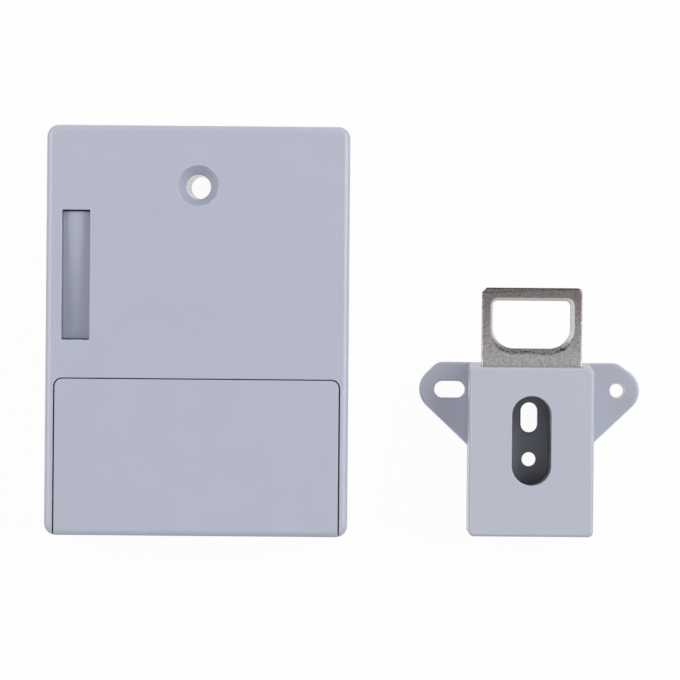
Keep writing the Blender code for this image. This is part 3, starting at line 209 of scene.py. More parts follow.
def ring(centre, radius, count):
    # Circle: centre + radius * (cos, sin)
    bearing = np.arange(count) * (2 * np.pi / count)
    normal = np.stack([np.cos(bearing), np.sin(bearing)], axis=1)
    return np.asarray(centre) + radius * normal, normal


def carry(path, profile, swell=1.0):
    # Point at profile row i and path place j: path point - inset * swell * path normal, at the row's height
    points, normals = path
    inset, height = np.asarray(profile, float).T
    step = normals * np.broadcast_to(swell, len(points))[:, None]
    flat = points[None] - inset[:, None, None] * step[None]
    tall = np.broadcast_to(height[:, None, None], (len(height), len(points), 1))
    return np.concatenate([flat, tall], axis=2)


def turned(centre, rows, count):
    # Rings of a turned profile of radii and heights: centre + radius * (cos, sin) at each height
    radius, height = np.asarray(rows, float).T
    widest = radius.max()
    return carry(ring(centre, widest, count), np.stack([widest - radius, height], axis=1))


def roundEdge(across, drop, height, steps=8):
    # Quarter ellipse from upright to level, ending at a height: inset = across * (1 - cos a),
    # height - drop * (1 - sin a); a negative across flares a cutter, which rounds what it opens
    a = np.linspace(0, np.pi / 2, steps + 1)
    return np.stack([across * (1 - np.cos(a)), height - drop * (1 - np.sin(a))], axis=1)


def solid(name, rings):
    # Closed mesh over a grid of rings: quads between neighbours, and the end rings filled
    rows, count = rings.shape[:2]
    here = np.arange(rows * count).reshape(rows, count)
    right = np.roll(here, -1, axis=1)
    quads = np.stack([here[:-1], right[:-1], right[1:], here[1:]], axis=-1).reshape(-1, 4)
    mesh = bpy.data.meshes.new(name)
    ends = [here[0, ::-1].tolist(), here[-1].tolist()]
    mesh.from_pydata(rings.reshape(-1, 3).tolist(), [], quads.tolist() + ends)
    obj = bpy.data.objects.new(name, mesh)
    scene.collection.objects.link(obj)
    return obj


def block(low, high, corner=meshSet["hair"]):
    # Upright box between two corners
    return solid("block", carry(outline(rectangle(low, high), corner, 1), [(0, low[2]), (0, high[2])]))


def post(centre, radius, low, high, count=32):
    # Upright round bar between two heights
    return solid("post", carry(ring(centre, radius, count), [(0, low), (0, high)]))


def openRound(path, lip, low, top):
    # Cutter for an opening in a face at top, flared to give it a rounded lip
    flare = roundEdge(-lip, lip, top, steps=6)
    return solid("opening", carry(path, np.vstack([[(0.0, low)], flare, [(-lip, top + past)]])))


def combine(piece, operation, others):
    # Boolean with each of the others in turn, kept in the mesh; the others are removed
    for other in others:
        modifier = piece.modifiers.new(other.name, "BOOLEAN")
        modifier.operation = operation
        modifier.solver = "EXACT"
        modifier.object = other
    graph = bpy.context.evaluated_depsgraph_get()
    mesh = bpy.data.meshes.new_from_object(piece.evaluated_get(graph))
    piece.modifiers.clear()
    piece.data = mesh
    for other in others:
        bpy.data.objects.remove(other)
    return piece


def cut(piece, *others):
    return combine(piece, "DIFFERENCE", others)


def join(piece, *others):
    return combine(piece, "UNION", others)


def finishPiece(piece, name, body, material, nodes):
    # Doubles merged, faces turned outwards, soft shading kept flat on the large faces
    tidy = bmesh.new()
    tidy.from_mesh(piece.data)
    bmesh.ops.remove_doubles(tidy, verts=tidy.verts, dist=meshSet["weld"])
    bmesh.ops.recalc_face_normals(tidy, faces=tidy.faces)
    tidy.to_mesh(piece.data)
    tidy.free()
    piece.name = piece.data.name = name
    piece.data.shade_smooth()
    piece.data.set_sharp_from_angle(angle=math.radians(meshSet["softBelow"]))
    piece.data.materials.clear()
    piece.data.materials.append(material)
    weighted = piece.modifiers.new("flat faces", "WEIGHTED_NORMAL")
    weighted.keep_sharp = True
    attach(piece, body)
    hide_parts(*nodes)
    print("made", name, len(piece.data.polygons), "faces")
    return piece


def faceMiddles(piece):
    # Middle of every face, one row each
    middles = np.empty(3 * len(piece.data.polygons))
    piece.data.polygons.foreach_get("center", middles)
    return middles.reshape(-1, 3)


def paintFaces(piece, material, chosen):
    # Second material on the chosen faces
    piece.data.materials.append(material)
    piece.data.polygons.foreach_set("material_index", chosen.astype(np.int32))


def boxOf(node):
    # A node's lowest and highest corner
    return tuple(np.array(corner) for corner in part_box(node))


def middleOf(node):
    # The middle of a node's box, seen from above
    low, high = boxOf(node)
    return (low[:2] + high[:2]) / 2


def travelOf(joint):
    # A joint's upper limit
    joints = frame["record"]["behaviour"]["joints"]
    return next(j["range_m"][1] for j in joints if j["name"] == joint)


# Materials
noiseSpread = {"From Min": 0.3, "From Max": 0.7}  # where most of a noise's values lie
plasticFinish = {
    "grain": 0.5, "flow": 14.0,  # mm across a pit and a cloud
    "sheen": (-0.04, 0.05),  # how far the roughness wanders
    "relief": 0.12, "reliefDeep": 0.03 * mm, "ior": 1.53,
}
metalFinish = {"sheen": (-0.06, 0.08), "reliefDeep": 0.05 * mm}


def newMaterial(name):
    material = bpy.data.materials.new(name)
    material.use_nodes = True
    return material, material.node_tree, material.node_tree.nodes["Principled BSDF"]


def perMm(size):
    # Texture scale that puts one pattern cell on a real size in millimetres
    return 1.0 / (size * mm)


def mouldedPlastic(name, colour, deep, rough, grain=plasticFinish["grain"], flow=plasticFinish["flow"]):
    # Injection-moulded plastic: an even, satin colour with faint flow clouds over centimetres, and the
    # spark-eroded tool grain, drawn coarser than its real 0.1 mm so that it shows
    f = plasticFinish
    material, tree, shader = newMaterial(name)
    place = addNode(tree, "ShaderNodeTexCoord").outputs["Object"]
    clouds = {"Vector": place, "Scale": perMm(flow), "Detail": 3.0}
    clouds = addNode(tree, "ShaderNodeTexNoise", clouds).outputs[0]
    tone = {"Factor": clouds, 6: srgb(deep), 7: srgb(colour)}
    tone = addNode(tree, "ShaderNodeMix", tone, data_type="RGBA").outputs[2]
    tree.links.new(tone, shader.inputs["Base Color"])
    pits = {"Vector": place, "Scale": perMm(grain), "Detail": 2.0}
    pits = addNode(tree, "ShaderNodeTexNoise", pits).outputs[0]
    satin = {"Value": pits, **noiseSpread, "To Min": rough + f["sheen"][0], "To Max": rough + f["sheen"][1]}
    satin = addNode(tree, "ShaderNodeMapRange", satin).outputs[0]
    tree.links.new(satin, shader.inputs["Roughness"])
    bump = {"Height": pits, "Strength": f["relief"], "Distance": f["reliefDeep"]}
    bump = addNode(tree, "ShaderNodeBump", bump).outputs[0]
    tree.links.new(bump, shader.inputs["Normal"])
    shader.inputs["IOR"].default_value = f["ior"]
    return material


casePlastic = mouldedPlastic("ABS, moulded, blue grey", "#b8bccb", "#b3b7c6", 0.32)
catchPlastic = mouldedPlastic("ABS, moulded, blue grey, catch", "#b9bdca", "#b5b9c6", 0.32)
# Painted highlight: near-white plastic for the ear hole's wall and lip, standing in for light from the white
# floor below
paleHoleLight = mouldedPlastic("ABS, moulded, drawn near white as painted light", "#f4f4f4", "#e9e9ea", 0.4)
polishedBore = mouldedPlastic("ABS, moulded round a polished pin", "#b8bccb", "#b3b7c6", 0.14)
# Painted shade: the case's plastic drawn darker, with a coarser roughness, for faces deep in the cover's
# seams and in the catch's well
recessShadePlastic = mouldedPlastic("ABS, moulded, deep faces left coarsely eroded", "#777a83", "#70737c", 0.5)
blackNylon = mouldedPlastic("nylon, moulded, black", "#26262a", "#1d1d20", 0.5)
whiteAcetal = mouldedPlastic("acetal, moulded, white", "#e9e8e2", "#e0dfd8", 0.4)
boardLacquer = mouldedPlastic("glass-fibre board, green lacquer", "#1f6b3f", "#185a34", 0.34, 0.6, 6.0)
cellJacket = mouldedPlastic("steel cell, shrink jacket", "#3b4049", "#32363e", 0.3, 1.5, 20.0)


def platedSteel(name, colour, deep, rough, grain, relief):
    # Barrel-plated steel and its like: a tumbled grain breaks the reflection into light and dark specks
    f = metalFinish
    material, tree, shader = newMaterial(name)
    place = addNode(tree, "ShaderNodeTexCoord").outputs["Object"]
    specks = {"Vector": place, "Scale": perMm(grain), "Detail": 4.0}
    specks = addNode(tree, "ShaderNodeTexNoise", specks).outputs[0]
    tone = {"Factor": specks, 6: srgb(deep), 7: srgb(colour)}
    tone = addNode(tree, "ShaderNodeMix", tone, data_type="RGBA").outputs[2]
    tree.links.new(tone, shader.inputs["Base Color"])
    dull = {"Value": specks, **noiseSpread, "To Min": rough + f["sheen"][0], "To Max": rough + f["sheen"][1]}
    dull = addNode(tree, "ShaderNodeMapRange", dull).outputs[0]
    tree.links.new(dull, shader.inputs["Roughness"])
    bump = {"Height": specks, "Strength": relief, "Distance": f["reliefDeep"]}
    bump = addNode(tree, "ShaderNodeBump", bump).outputs[0]
    tree.links.new(bump, shader.inputs["Normal"])
    shader.inputs["Metallic"].default_value = 1.0
    return material


nickelPlate = platedSteel("steel, stamped, tumbled and nickel plated", "#a3a09e", "#7b7776", 0.42, 0.8, 0.35)
zincSteel = platedSteel("steel, zinc plated", "#b9bcc0", "#9a9da2", 0.34, 0.6, 0.15)
brassTurned = platedSteel("brass, turned", "#c9a35a", "#a9843f", 0.3, 0.5, 0.1)
copperWinding = platedSteel("copper wire, enamelled", "#b5713f", "#8f5228", 0.36, 0.4, 0.25)

# What the nodes that keep their CAD shape are made of, by the start of their names
nodeFinish = {
    "rear_cover": casePlastic, "latch_bolt": zincSteel, "bolt_guide": whiteAcetal, "bolt_sensor": blackNylon,
    "drive_pinion": brassTurned, "motor": zincSteel, "motor_gearbox": brassTurned, "motor_bracket": zincSteel,
    "mechanism_screw": zincSteel, "circuit_board": boardLacquer, "board_screw": zincSteel,
    "control_chip": blackNylon, "buzzer": blackNylon, "antenna_coil": copperWinding,
    "switch_body": blackNylon, "set_button": whiteAcetal, "battery_tray": blackNylon,
    "battery_contact": nickelPlate, "contact_spring": nickelPlate, "plate_screw": zincSteel,
}
for nodeName, nodeObject in frame["nodes"].items():
    kind = max((k for k in nodeFinish if nodeName.startswith(k)), key=len, default=None)
    if kind:
        nodeObject.data.materials.clear()
        nodeObject.data.materials.append(nodeFinish[kind])
print("materials set")


# Lock case
caseShape = {
    "corner": 3.3 * mm, "cornerSteps": 12, "rim": (1.9 * mm, 1.5 * mm), "rimSteps": 12, "footEdge": 0.3 * mm,
    "wall": 2.3 * mm, "face": 2.2 * mm,
}
shellLow, shellHigh = boxOf("front_shell")
coverLow, coverHigh = boxOf("battery_cover")
pressLow, pressHigh = boxOf("ejector")
boltLow, boltHigh = boxOf("latch_bolt")
boardLow, boardHigh = boxOf("circuit_board")
shellLow[1] = coverLow[1]  # the shell is open at this end, where the cover closes it
faceZ = shellHigh[2]
caseX = (shellLow[0] + shellHigh[0]) / 2


def caseEnvelope(name):
    # The whole case as one rounded block: upright wall, then the quarter-round rim
    c = caseShape
    path = outline(rectangle(shellLow, shellHigh), c["corner"], c["cornerSteps"])
    foot = [(c["footEdge"], shellLow[2]), (0.0, shellLow[2] + c["footEdge"])]
    rim = roundEdge(*c["rim"], faceZ, steps=c["rimSteps"])
    return solid(name, carry(path, np.vstack([foot, rim])))


bayShape = {
    "strip": 2.3 * mm, "seam": 0.26 * mm, "sideSeam": 0.38 * mm, "seamUp": 0.2 * mm, "corner": 2.2 * mm,
    "lip": 0.2 * mm, "wall": 1.5 * mm, "ledge": 1.5 * mm, "sill": 1.6 * mm, "support": 8.9 * mm,
    "endWall": 1.8 * mm, "boardRoom": 1.0 * mm,
    "runnerDrop": 4.1 * mm, "runnerThick": 0.9 * mm, "runnerReach": 0.75 * mm,
}
bayHalf = shellHigh[0] - caseX - bayShape["strip"]
coverHalf = bayHalf - bayShape["sideSeam"]
bayEdge = coverHigh[1] + bayShape["seamUp"] + bayShape["seam"] / 2
runnerLow = faceZ - bayShape["runnerDrop"]
sillOuter = shellLow[1] + bayShape["endWall"] + fit

slotShape = {
    "tab": 1.1 * mm, "tabHalf": 1.45 * mm, "chuteWall": 1.5 * mm, "lip": 0.22 * mm, "corner": 0.35 * mm,
    "shift": (0.2 * mm, 0.4 * mm),  # how far its lower and its upper end lie above the CAD's
}
slotLow = np.array([pressLow[0] - fit, pressLow[1] + slotShape["tab"] - fit + slotShape["shift"][0]])
slotHigh = np.array([pressHigh[0] + fit, pressHigh[1] - slotShape["tab"] + fit + slotShape["shift"][1]])

holeShape = {
    "belowTop": 16.8 * mm, "radius": 3.45 * mm, "sinkRadius": 5.7 * mm, "sinkDeep": 3.25 * mm,
    "tubeWall": 1.9 * mm, "lip": 0.35 * mm, "endRadius": 3.05 * mm, "drift": (0.54 * mm, 0.25 * mm),
    "footSag": 0.28 * mm, "steps": 96, "polished": 1.16,  # faces within this many bore radii are polished
}
holeAt = (caseX, shellHigh[1] - holeShape["belowTop"])

bossShape = {"radius": 3.3 * mm, "pilot": 1.6 * mm, "pilotTop": 9.5 * mm}
bossPlaces = [middleOf(f"case_screw_{i}") for i in (1, 2, 3, 4)]


def makeCaseShell():
    # The envelope, hollowed round the slot's chute, the fixing hole's tube and the bosses, then opened for
    # the cover and its runners, the press plate, the bolt and the board
    shell = caseEnvelope("caseShell")
    inLow = shellLow[:2] + caseShape["wall"]
    inHigh = shellHigh[:2] - caseShape["wall"]
    chuteLow = (shellLow[0] - past, slotLow[1] - slotShape["chuteWall"], -2 * past)
    chuteHigh = slotHigh + slotShape["chuteWall"]
    cavity = block((inLow[0], bayEdge + bayShape["wall"], -past), (*inHigh, faceZ - caseShape["face"]))
    chute = block(chuteLow, (*chuteHigh, faceZ))
    tube = post(holeAt, holeShape["radius"] + holeShape["tubeWall"], -2 * past, faceZ, 64)
    bosses = [post(place, bossShape["radius"], -2 * past, faceZ) for place in bossPlaces]
    cut(cavity, chute, tube, *bosses)

    bayLow = (caseX - bayHalf, shellLow[1] - 2 * past)
    corner = bayShape["corner"] + bayShape["seam"]
    bayPath = rectangle(bayLow, (caseX + bayHalf, bayEdge))
    bayPath = outline(bayPath, [fit, fit, corner, corner], caseShape["cornerSteps"])
    bay = openRound(bayPath, bayShape["lip"], bayShape["support"], faceZ)
    ledgeHalf = bayHalf - bayShape["ledge"]
    wellLow = (caseX - ledgeHalf, sillOuter + bayShape["sill"], -past)
    bayWell = block(wellLow, (caseX + ledgeHalf, bayEdge, bayShape["support"] + fit))
    bayEnd = block((*bayLow, -past), (caseX + bayHalf, sillOuter, bayShape["support"] + fit))

    slotPath = outline(rectangle(slotLow, slotHigh), slotShape["corner"], 6)
    slot = openRound(slotPath, slotShape["lip"], -past, faceZ)
    pocket = block(
        (boltLow[0] - travelOf("bolt_slide") - fit, boltLow[1] - fit, boltLow[2] - fit),
        (chuteHigh[0] + past, boltHigh[1] + fit, boltHigh[2] + fit),
    )
    slotX = (slotLow[0] + slotHigh[0]) / 2
    tabHalf = slotShape["tabHalf"] + fit
    grooveTop = pressLow[2] + slotShape["tab"] + fit
    grooveReach = slotShape["chuteWall"] + past
    grooves = block(
        (slotX - tabHalf, slotLow[1] - grooveReach, -past),
        (slotX + tabHalf, slotHigh[1] + grooveReach, grooveTop),
    )
    runwayHalf = bayHalf + bayShape["runnerReach"] + fit
    runwayTop = runnerLow + bayShape["runnerThick"] + fit
    runway = block(
        (caseX - runwayHalf, shellLow[1] - past, runnerLow - fit),
        (caseX + runwayHalf, coverHigh[1] - bayShape["corner"], runwayTop),
    )
    boardWay = block(
        (boardLow[0] - fit, bayEdge - bayShape["wall"], -past),
        (boardHigh[0] + fit, bayEdge + 2 * bayShape["wall"], boardHigh[2] + bayShape["boardRoom"]),
    )

    # Fixing hole: bore, cone, then an arc from the cone's slope out on to the face
    bore, wide, lip, deep = (holeShape[k] for k in ("radius", "sinkRadius", "lip", "sinkDeep"))
    slope = math.atan2(deep, wide - bore)
    a = np.linspace(slope, 0, 7)
    lipEnd = wide + lip * math.tan(slope / 2)
    lipRows = np.stack([lipEnd - lip * np.sin(a), faceZ - lip * (1 - np.cos(a))], axis=1)
    pin = [(holeShape["endRadius"], -past), (bore, faceZ - deep)]
    rings = turned(holeAt, np.vstack([pin, lipRows, [(lipEnd, faceZ + past)]]), holeShape["steps"])
    rings[0, :, :2] += holeShape["drift"]  # the tapered pin that made the bore stood a little askew,
    rings[1, :, 1] -= holeShape["footSag"]  # and off the cone's middle
    hole = solid("hole", rings)
    pilots = [post(place, bossShape["pilot"], -past, bossShape["pilotTop"]) for place in bossPlaces]
    cut(shell, cavity, bay, bayWell, bayEnd, slot, pocket, grooves, runway, boardWay, hole, *pilots)
    finishPiece(shell, "caseShell", "lock_case", casePlastic, ["front_shell"])
    away = faceMiddles(shell)[:, :2] - holeAt
    paintFaces(shell, polishedBore, np.hypot(away[:, 0], away[:, 1]) < bore * holeShape["polished"])


coverShape = {
    "skin": 2.0 * mm, "skirt": 1.5 * mm, "skirtUp": 1.0 * mm, "root": 0.75 * mm, "runnerStart": 0.9 * mm,
    "tongue": (0.12 * mm, 1.2 * mm), "tongueGap": 0.03 * mm,
    "sunk": 0.02 * mm, "proud": 0.004 * mm,  # these keep faces from lying in one plane
    # depths below the face from which the sides take painted shade
    "shadedBelow": 1.0 * mm, "shadedBelowEnd": 1.6 * mm,  # along the sides, and close to the lower end
    "sideFaces": 0.1 * mm, "endFace": 0.05 * mm,  # faces this near count as the side's or the end's
}


def makeBatteryCover():
    # The envelope's part inside the seam, hollow below, with skirts and runners along both sides
    c = coverShape
    cover = caseEnvelope("batteryCover")
    regionHigh = (caseX + coverHalf, bayEdge - bayShape["seam"])
    region = rectangle((caseX - coverHalf, shellLow[1] - 2 * past), regionHigh)
    corners = [fit, fit, bayShape["corner"], bayShape["corner"]]
    region = outline(region, corners, caseShape["cornerSteps"])
    rim = roundEdge(bayShape["lip"], bayShape["lip"], faceZ + c["proud"], steps=6)
    combine(cover, "INTERSECT", [solid("region", carry(region, np.vstack([[(0.0, -past)], rim])))])
    under = faceZ - c["skin"]
    inner = shellLow[1] + bayShape["endWall"]
    cut(cover, block((shellLow[0] - past, inner, -past), (shellHigh[0] + past, shellHigh[1], under)))
    runnerTop = runnerLow + bayShape["runnerThick"]
    skirtNorth = coverHigh[1] - bayShape["corner"] - fit
    for way in (-1, 1):
        root = caseX + way * (coverHalf - c["root"])
        sides = sorted([caseX + way * (coverHalf - c["skirt"]), caseX + way * (coverHalf - c["sunk"])])
        skirt = block(
            (sides[0], inner - bayShape["endWall"] / 2, runnerLow),
            (sides[1], skirtNorth, under + c["skirtUp"]),
        )
        sides = sorted([root, caseX + way * (bayHalf + bayShape["runnerReach"])])
        runner = block(
            (sides[0], shellLow[1] + c["runnerStart"], runnerLow - c["sunk"]),
            (sides[1], skirtNorth - fit, runnerTop),
        )
        sides = sorted([root, caseX + way * (bayHalf - c["tongueGap"])])
        start, end = shellLow[1] + np.array(c["tongue"])
        tongue = block((sides[0], start, runnerLow), (sides[1], end, runnerTop - c["sunk"]))
        join(cover, skirt, runner, tongue)
    finishPiece(cover, "batteryCover", "battery_cover", casePlastic, ["battery_cover"])

    # Its sides below the lip take painted shade, the darker and coarser plastic, and the end's rounded edge
    # stays plain
    x, y, z = faceMiddles(cover).T
    beside = np.abs(x - caseX) > coverHalf - c["sideFaces"]
    deep = np.where(y < shellLow[1] + past, c["shadedBelowEnd"], c["shadedBelow"])
    paintFaces(cover, recessShadePlastic, beside & (z < faceZ - deep) & (y > shellLow[1] + c["endFace"]))


pressShape = {
    "crown": 0.6 * mm, "edge": 0.25 * mm, "sideGap": 0.08 * mm, "rise": 1.6 * mm, "slope": 2.9 * mm,
    "pocket": 2.9 * mm, "pocketDeep": 1.2 * mm, "tabUp": 0.01 * mm,
    "arcShare": 0.94,  # leaves room for the eased edges beside the arc
}


def makePressPlate():
    # Cross-section in x and z with a flat arc on top, carried along y with its two ends eased; the face
    # then slopes down to its lower end: z + rise - slope * (north - y) / length, fading out at the underside
    half = (slotHigh[0] - slotLow[0]) / 2 - pressShape["sideGap"]
    middle = (pressHigh[0] + pressLow[0]) / 2
    crown, low, top = pressShape["crown"], pressLow[2], pressHigh[2]
    arcRadius = (half**2 + crown**2) / (2 * crown)
    peak = top - crown + half * math.tan(math.asin(half / arcRadius))
    section = [
        (middle - half, low), (middle + half, low), (middle + half, top - crown), (middle, peak),
        (middle - half, top - crown),
    ]
    eased = pressShape["edge"]
    path = outline(section, [eased, eased, eased, arcRadius * pressShape["arcShare"], eased], 16)
    south, north = slotLow[1] + fit, slotHigh[1] - fit
    ease = roundEdge(eased, eased, 0.0, steps=5)
    southRows = np.stack([ease[::-1, 0], south - ease[::-1, 1]], axis=1)
    northRows = np.stack([ease[:, 0], north + ease[:, 1]], axis=1)
    rings = carry(path, np.vstack([southRows, northRows]))[..., [0, 2, 1]]
    drop = pressShape["slope"] * (north - rings[..., 1]) / (north - south) - pressShape["rise"]
    rings[..., 2] -= drop * (rings[..., 2] - low) / (top - low)
    plate = solid("pressPlate", rings)
    tabHalf, tab = slotShape["tabHalf"], slotShape["tab"]
    tabLow = (middle - tabHalf, pressLow[1], low + pressShape["tabUp"])
    join(plate, block(tabLow, (middle + tabHalf, pressHigh[1], low + tab)))
    places = [middleOf(f"ejector_spring_{i}") for i in (1, 2)]
    cut(plate, *[post(p, pressShape["pocket"], low - past, low + pressShape["pocketDeep"]) for p in places])
    finishPiece(plate, "pressPlate", "ejector", casePlastic, ["ejector"])


springShape = {"wire": 0.5 * mm, "turns": 5, "perTurn": 32, "section": 12}


def makeEjectorSpring(name, node):
    # Coil: centre + radius * (cos a, sin a), climbing evenly with a, and the wire's circle stands across it:
    # wire radius * (cos b outwards, sin b upwards)
    c = springShape
    low, high = boxOf(node)
    centre, wire = (low + high) / 2, c["wire"] / 2
    radius = (high[0] - low[0]) / 2 - wire
    a = np.linspace(0, 2 * np.pi * c["turns"], c["turns"] * c["perTurn"] + 1)[:, None]
    b = np.arange(c["section"]) * (2 * np.pi / c["section"])
    out = radius + wire * np.cos(b)
    climb = np.linspace(low[2] + wire, high[2] - wire, len(a))[:, None]
    x, y = centre[0] + out * np.cos(a), centre[1] + out * np.sin(a)
    rings = np.stack([x, y, climb + wire * np.sin(b)], axis=2)
    spring = finishPiece(solid(name, rings), name, "lock_case", zincSteel, [node])
    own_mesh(spring)


screwShape = {
    "head": 2.6 * mm, "headHeight": 1.3 * mm, "headEdge": (0.12 * mm, 0.1 * mm),
    "shank": 1.3 * mm, "pitch": 1.0 * mm, "thread": 0.28 * mm, "steps": 32,
    "tip": (0.25 * mm, 0.8 * mm),  # its radius and length
    "recess": (1.55 * mm, 0.3 * mm, 1.1 * mm),  # half length, half width and depth of the cross
}


def makeScrew(name, body, node):
    # Countersunk screw, head down: a turned profile, its shank in and out by the thread each half pitch
    c = screwShape
    low, high = boxOf(node)
    centre = middleOf(node)
    inset, rise = c["headEdge"]
    neck = low[2] + c["headHeight"]
    head = [(c["head"] - inset, low[2]), (c["head"], low[2] + rise), (c["shank"], neck)]
    climb = np.arange(neck + c["pitch"], high[2] - c["pitch"], c["pitch"] / 2)
    thread = np.stack([c["shank"] - c["thread"] * (np.arange(len(climb)) % 2), climb], axis=1)
    end, taper = c["tip"]
    tip = [(c["shank"] - c["thread"], high[2] - taper), (end, high[2])]
    screw = solid(name, turned(centre, np.vstack([head, thread, tip]), c["steps"]))
    long, wide, deep = c["recess"]
    bars = [
        block((*(centre - half), low[2] - past), (*(centre + half), low[2] + deep))
        for half in (np.array([long, wide]), np.array([wide, long]))
    ]
    cut(screw, *bars)
    finishPiece(screw, name, body, zincSteel, [node])


cellShape = {
    "steps": 56, "bare": 4.25 * mm,  # the metal ends show inside this radius
    # Radius and distance from the flat end, mm: end disc, jacket's edge, body, jacket's edge, cap, button
    "rows": [
        (3.7, 0.0), (3.95, 0.1), (4.05, 0.4), (4.3, 0.45), (4.5, 0.25), (4.85, 0.2), (5.1, 0.3), (5.22, 0.5),
        (5.25, 0.8), (5.25, 42.4), (5.22, 42.7), (5.1, 42.95), (4.85, 43.05), (4.5, 43.0), (4.2, 42.8),
        (4.1, 42.75), (2.7, 42.8), (2.3, 42.95), (2.05, 43.3), (1.9, 43.6), (1.9, 44.25), (1.8, 44.42),
        (1.6, 44.5),
    ],
}


def makeCell(name, node, springNode):
    # Dry cell: a turned profile along x, its button away from the contact spring
    low, high = boxOf(node)
    centre = (low + high) / 2
    rings = turned(centre[1:], np.array(cellShape["rows"]) * mm, cellShape["steps"])[..., [2, 0, 1]]
    flatLeft = boxOf(springNode)[0][0] < centre[0]
    rings[..., 0] = low[0] + rings[..., 0] if flatLeft else high[0] - rings[..., 0]
    cell = finishPiece(solid(name, rings), name, "lock_case", cellJacket, [node])
    away = faceMiddles(cell)[:, 1:] - centre[1:]
    paintFaces(cell, nickelPlate, np.hypot(away[:, 0], away[:, 1]) < cellShape["bare"])


makeCaseShell()
makeBatteryCover()
makePressPlate()
for i in (1, 2):
    makeEjectorSpring(f"ejectorSpring{i}", f"ejector_spring_{i}")
for i in (1, 2, 3, 4):
    makeScrew(f"caseScrew{i}", "lock_case", f"case_screw_{i}")
for i in (1, 2, 3):
    makeCell(f"batteryCell{i}", f"battery_cell_{i}", f"contact_spring_{i}")


# Catch
catchShape = {
    "length": 47.6 * mm, "corner": 1.5 * mm, "rim": 0.9 * mm, "footEdge": 0.2 * mm, "lean": 1.35 * mm,
    "wall": 1.8 * mm, "face": 2.0 * mm, "bossRadius": 2.8 * mm, "wayCorner": 0.2 * mm,
    "wellWidth": 11.05 * mm, "wellLength": 25.1 * mm, "wellY": 3.2 * mm, "wellWall": 1.5 * mm,
    "wellLip": 0.3 * mm, "wellNear": 1.02,  # faces within this many well radii are the well's
}
boxLow, boxHigh = boxOf("catch_box")
baseLow, baseHigh = boxOf("catch_base")
plateLow, plateHigh = boxOf("strike_plate")
catchAt = np.array([(boxLow[0] + boxHigh[0]) / 2, boxLow[1] + catchShape["length"] / 2])
wellAt = catchAt + (0.0, catchShape["wellY"])
boxHalf = (boxHigh[0] - boxLow[0]) / 2
catchScrewPlaces = [middleOf(f"catch_screw_{i}") for i in (1, 2)]
plateScrewPlaces = [middleOf(f"plate_screw_{i}") for i in (1, 2, 3, 4)]


def obround(centre, width, length, steps=16):
    # Slot with half-round ends: a rectangle whose corners take all but a sliver of its narrow side
    half = np.array([width, length]) / 2
    radius = min(half) - meshSet["sliver"]
    return outline(rectangle(np.asarray(centre) - half, np.asarray(centre) + half), radius, steps)


def makeCatchBox():
    # Rounded block whose plate end leans out towards the base: y + lean * (top - z) / height there
    c = catchShape
    top, low = boxHigh[2], boxLow[2]
    half = np.array([boxHalf, c["length"] / 2])
    path = outline(rectangle(catchAt - half, catchAt + half), c["corner"], 10)
    foot = [(c["footEdge"], low), (0.0, low + c["footEdge"])]
    rings = carry(path, np.vstack([foot, roundEdge(c["rim"], c["rim"], top, steps=10)]))
    lean = c["lean"] * (top - rings[..., 2]) / (top - low)
    rings[..., 1] += np.where(rings[..., 1] > catchAt[1], lean, 0.0)
    box = solid("catchBox", rings)
    inner = half - c["wall"]
    cavity = block((*(catchAt - inner), -past), (*(catchAt + inner), top - c["face"]))
    wallPath = obround(wellAt, c["wellWidth"] + 2 * c["wellWall"], c["wellLength"] + 2 * c["wellWall"])
    wellWall = solid("wellWall", carry(wallPath, [(0, -2 * past), (0, top)]))
    cut(cavity, wellWall, *[post(p, c["bossRadius"], -2 * past, top) for p in catchScrewPlaces])
    well = openRound(obround(wellAt, c["wellWidth"], c["wellLength"], 24), c["wellLip"], -past, top)
    way = block(
        (plateLow[0] - fit, catchAt[1] + inner[1] - past, plateLow[2] - fit),
        (plateHigh[0] + fit, boxHigh[1] + past, plateHigh[2] + fit),
        c["wayCorner"],
    )
    pilots = [post(p, bossShape["pilot"], -past, bossShape["pilotTop"]) for p in catchScrewPlaces]
    cut(box, cavity, well, way, *pilots)
    finishPiece(box, "catchBox", "catch", catchPlastic, ["catch_box"])

    # The well's faces, drawn in the darker plastic as painted shade: distance from its middle, less half its
    # straight length along y, within its radius
    middles = faceMiddles(box)
    spread = np.array([0.0, c["wellLength"] - c["wellWidth"]]) / 2
    away = np.maximum(np.abs(middles[:, :2] - wellAt) - spread, 0.0)
    inWell = np.hypot(away[:, 0], away[:, 1]) < c["wellWidth"] / 2 * c["wellNear"]
    paintFaces(box, recessShadePlastic, inWell & (middles[:, 2] < top - c["wellLip"]))


baseShape = {
    "earRadius": 6.4 * mm, "earRow": 17.35 * mm, "foot": 1.5 * mm, "footCorner": 0.4 * mm,
    "shoulder": 4.0 * mm, "shoulderOut": (0.0, 1.3 * mm),  # its rounding; how far out, right and left
    "footEdge": 0.2 * mm, "edge": 0.75 * mm, "lip": 0.5 * mm,
    "earHole": 3.75 * mm, "earTaper": 0.4 * mm, "earLean": (0.2 * mm, 0.12 * mm),
    "earSlotLong": 8.75 * mm, "earSlotOut": 0.2 * mm, "slotLong": 8.5 * mm, "slotWide": 4.75 * mm,
    "wellSlotY": 9.5 * mm, "wellHoleY": -2.45 * mm, "wellHole": 4.0 * mm,
    "postRadius": 2.2 * mm, "pilot": 1.2 * mm, "pilotDeep": 6.0 * mm,
    "sinkRadius": 2.9 * mm, "sink": [(0.0, 0.2 * mm), (1.3 * mm, 1.5 * mm)],  # inset and height of its ends
    "within": 0.002 * mm,  # faces this far inside the base's two faces are walls
}


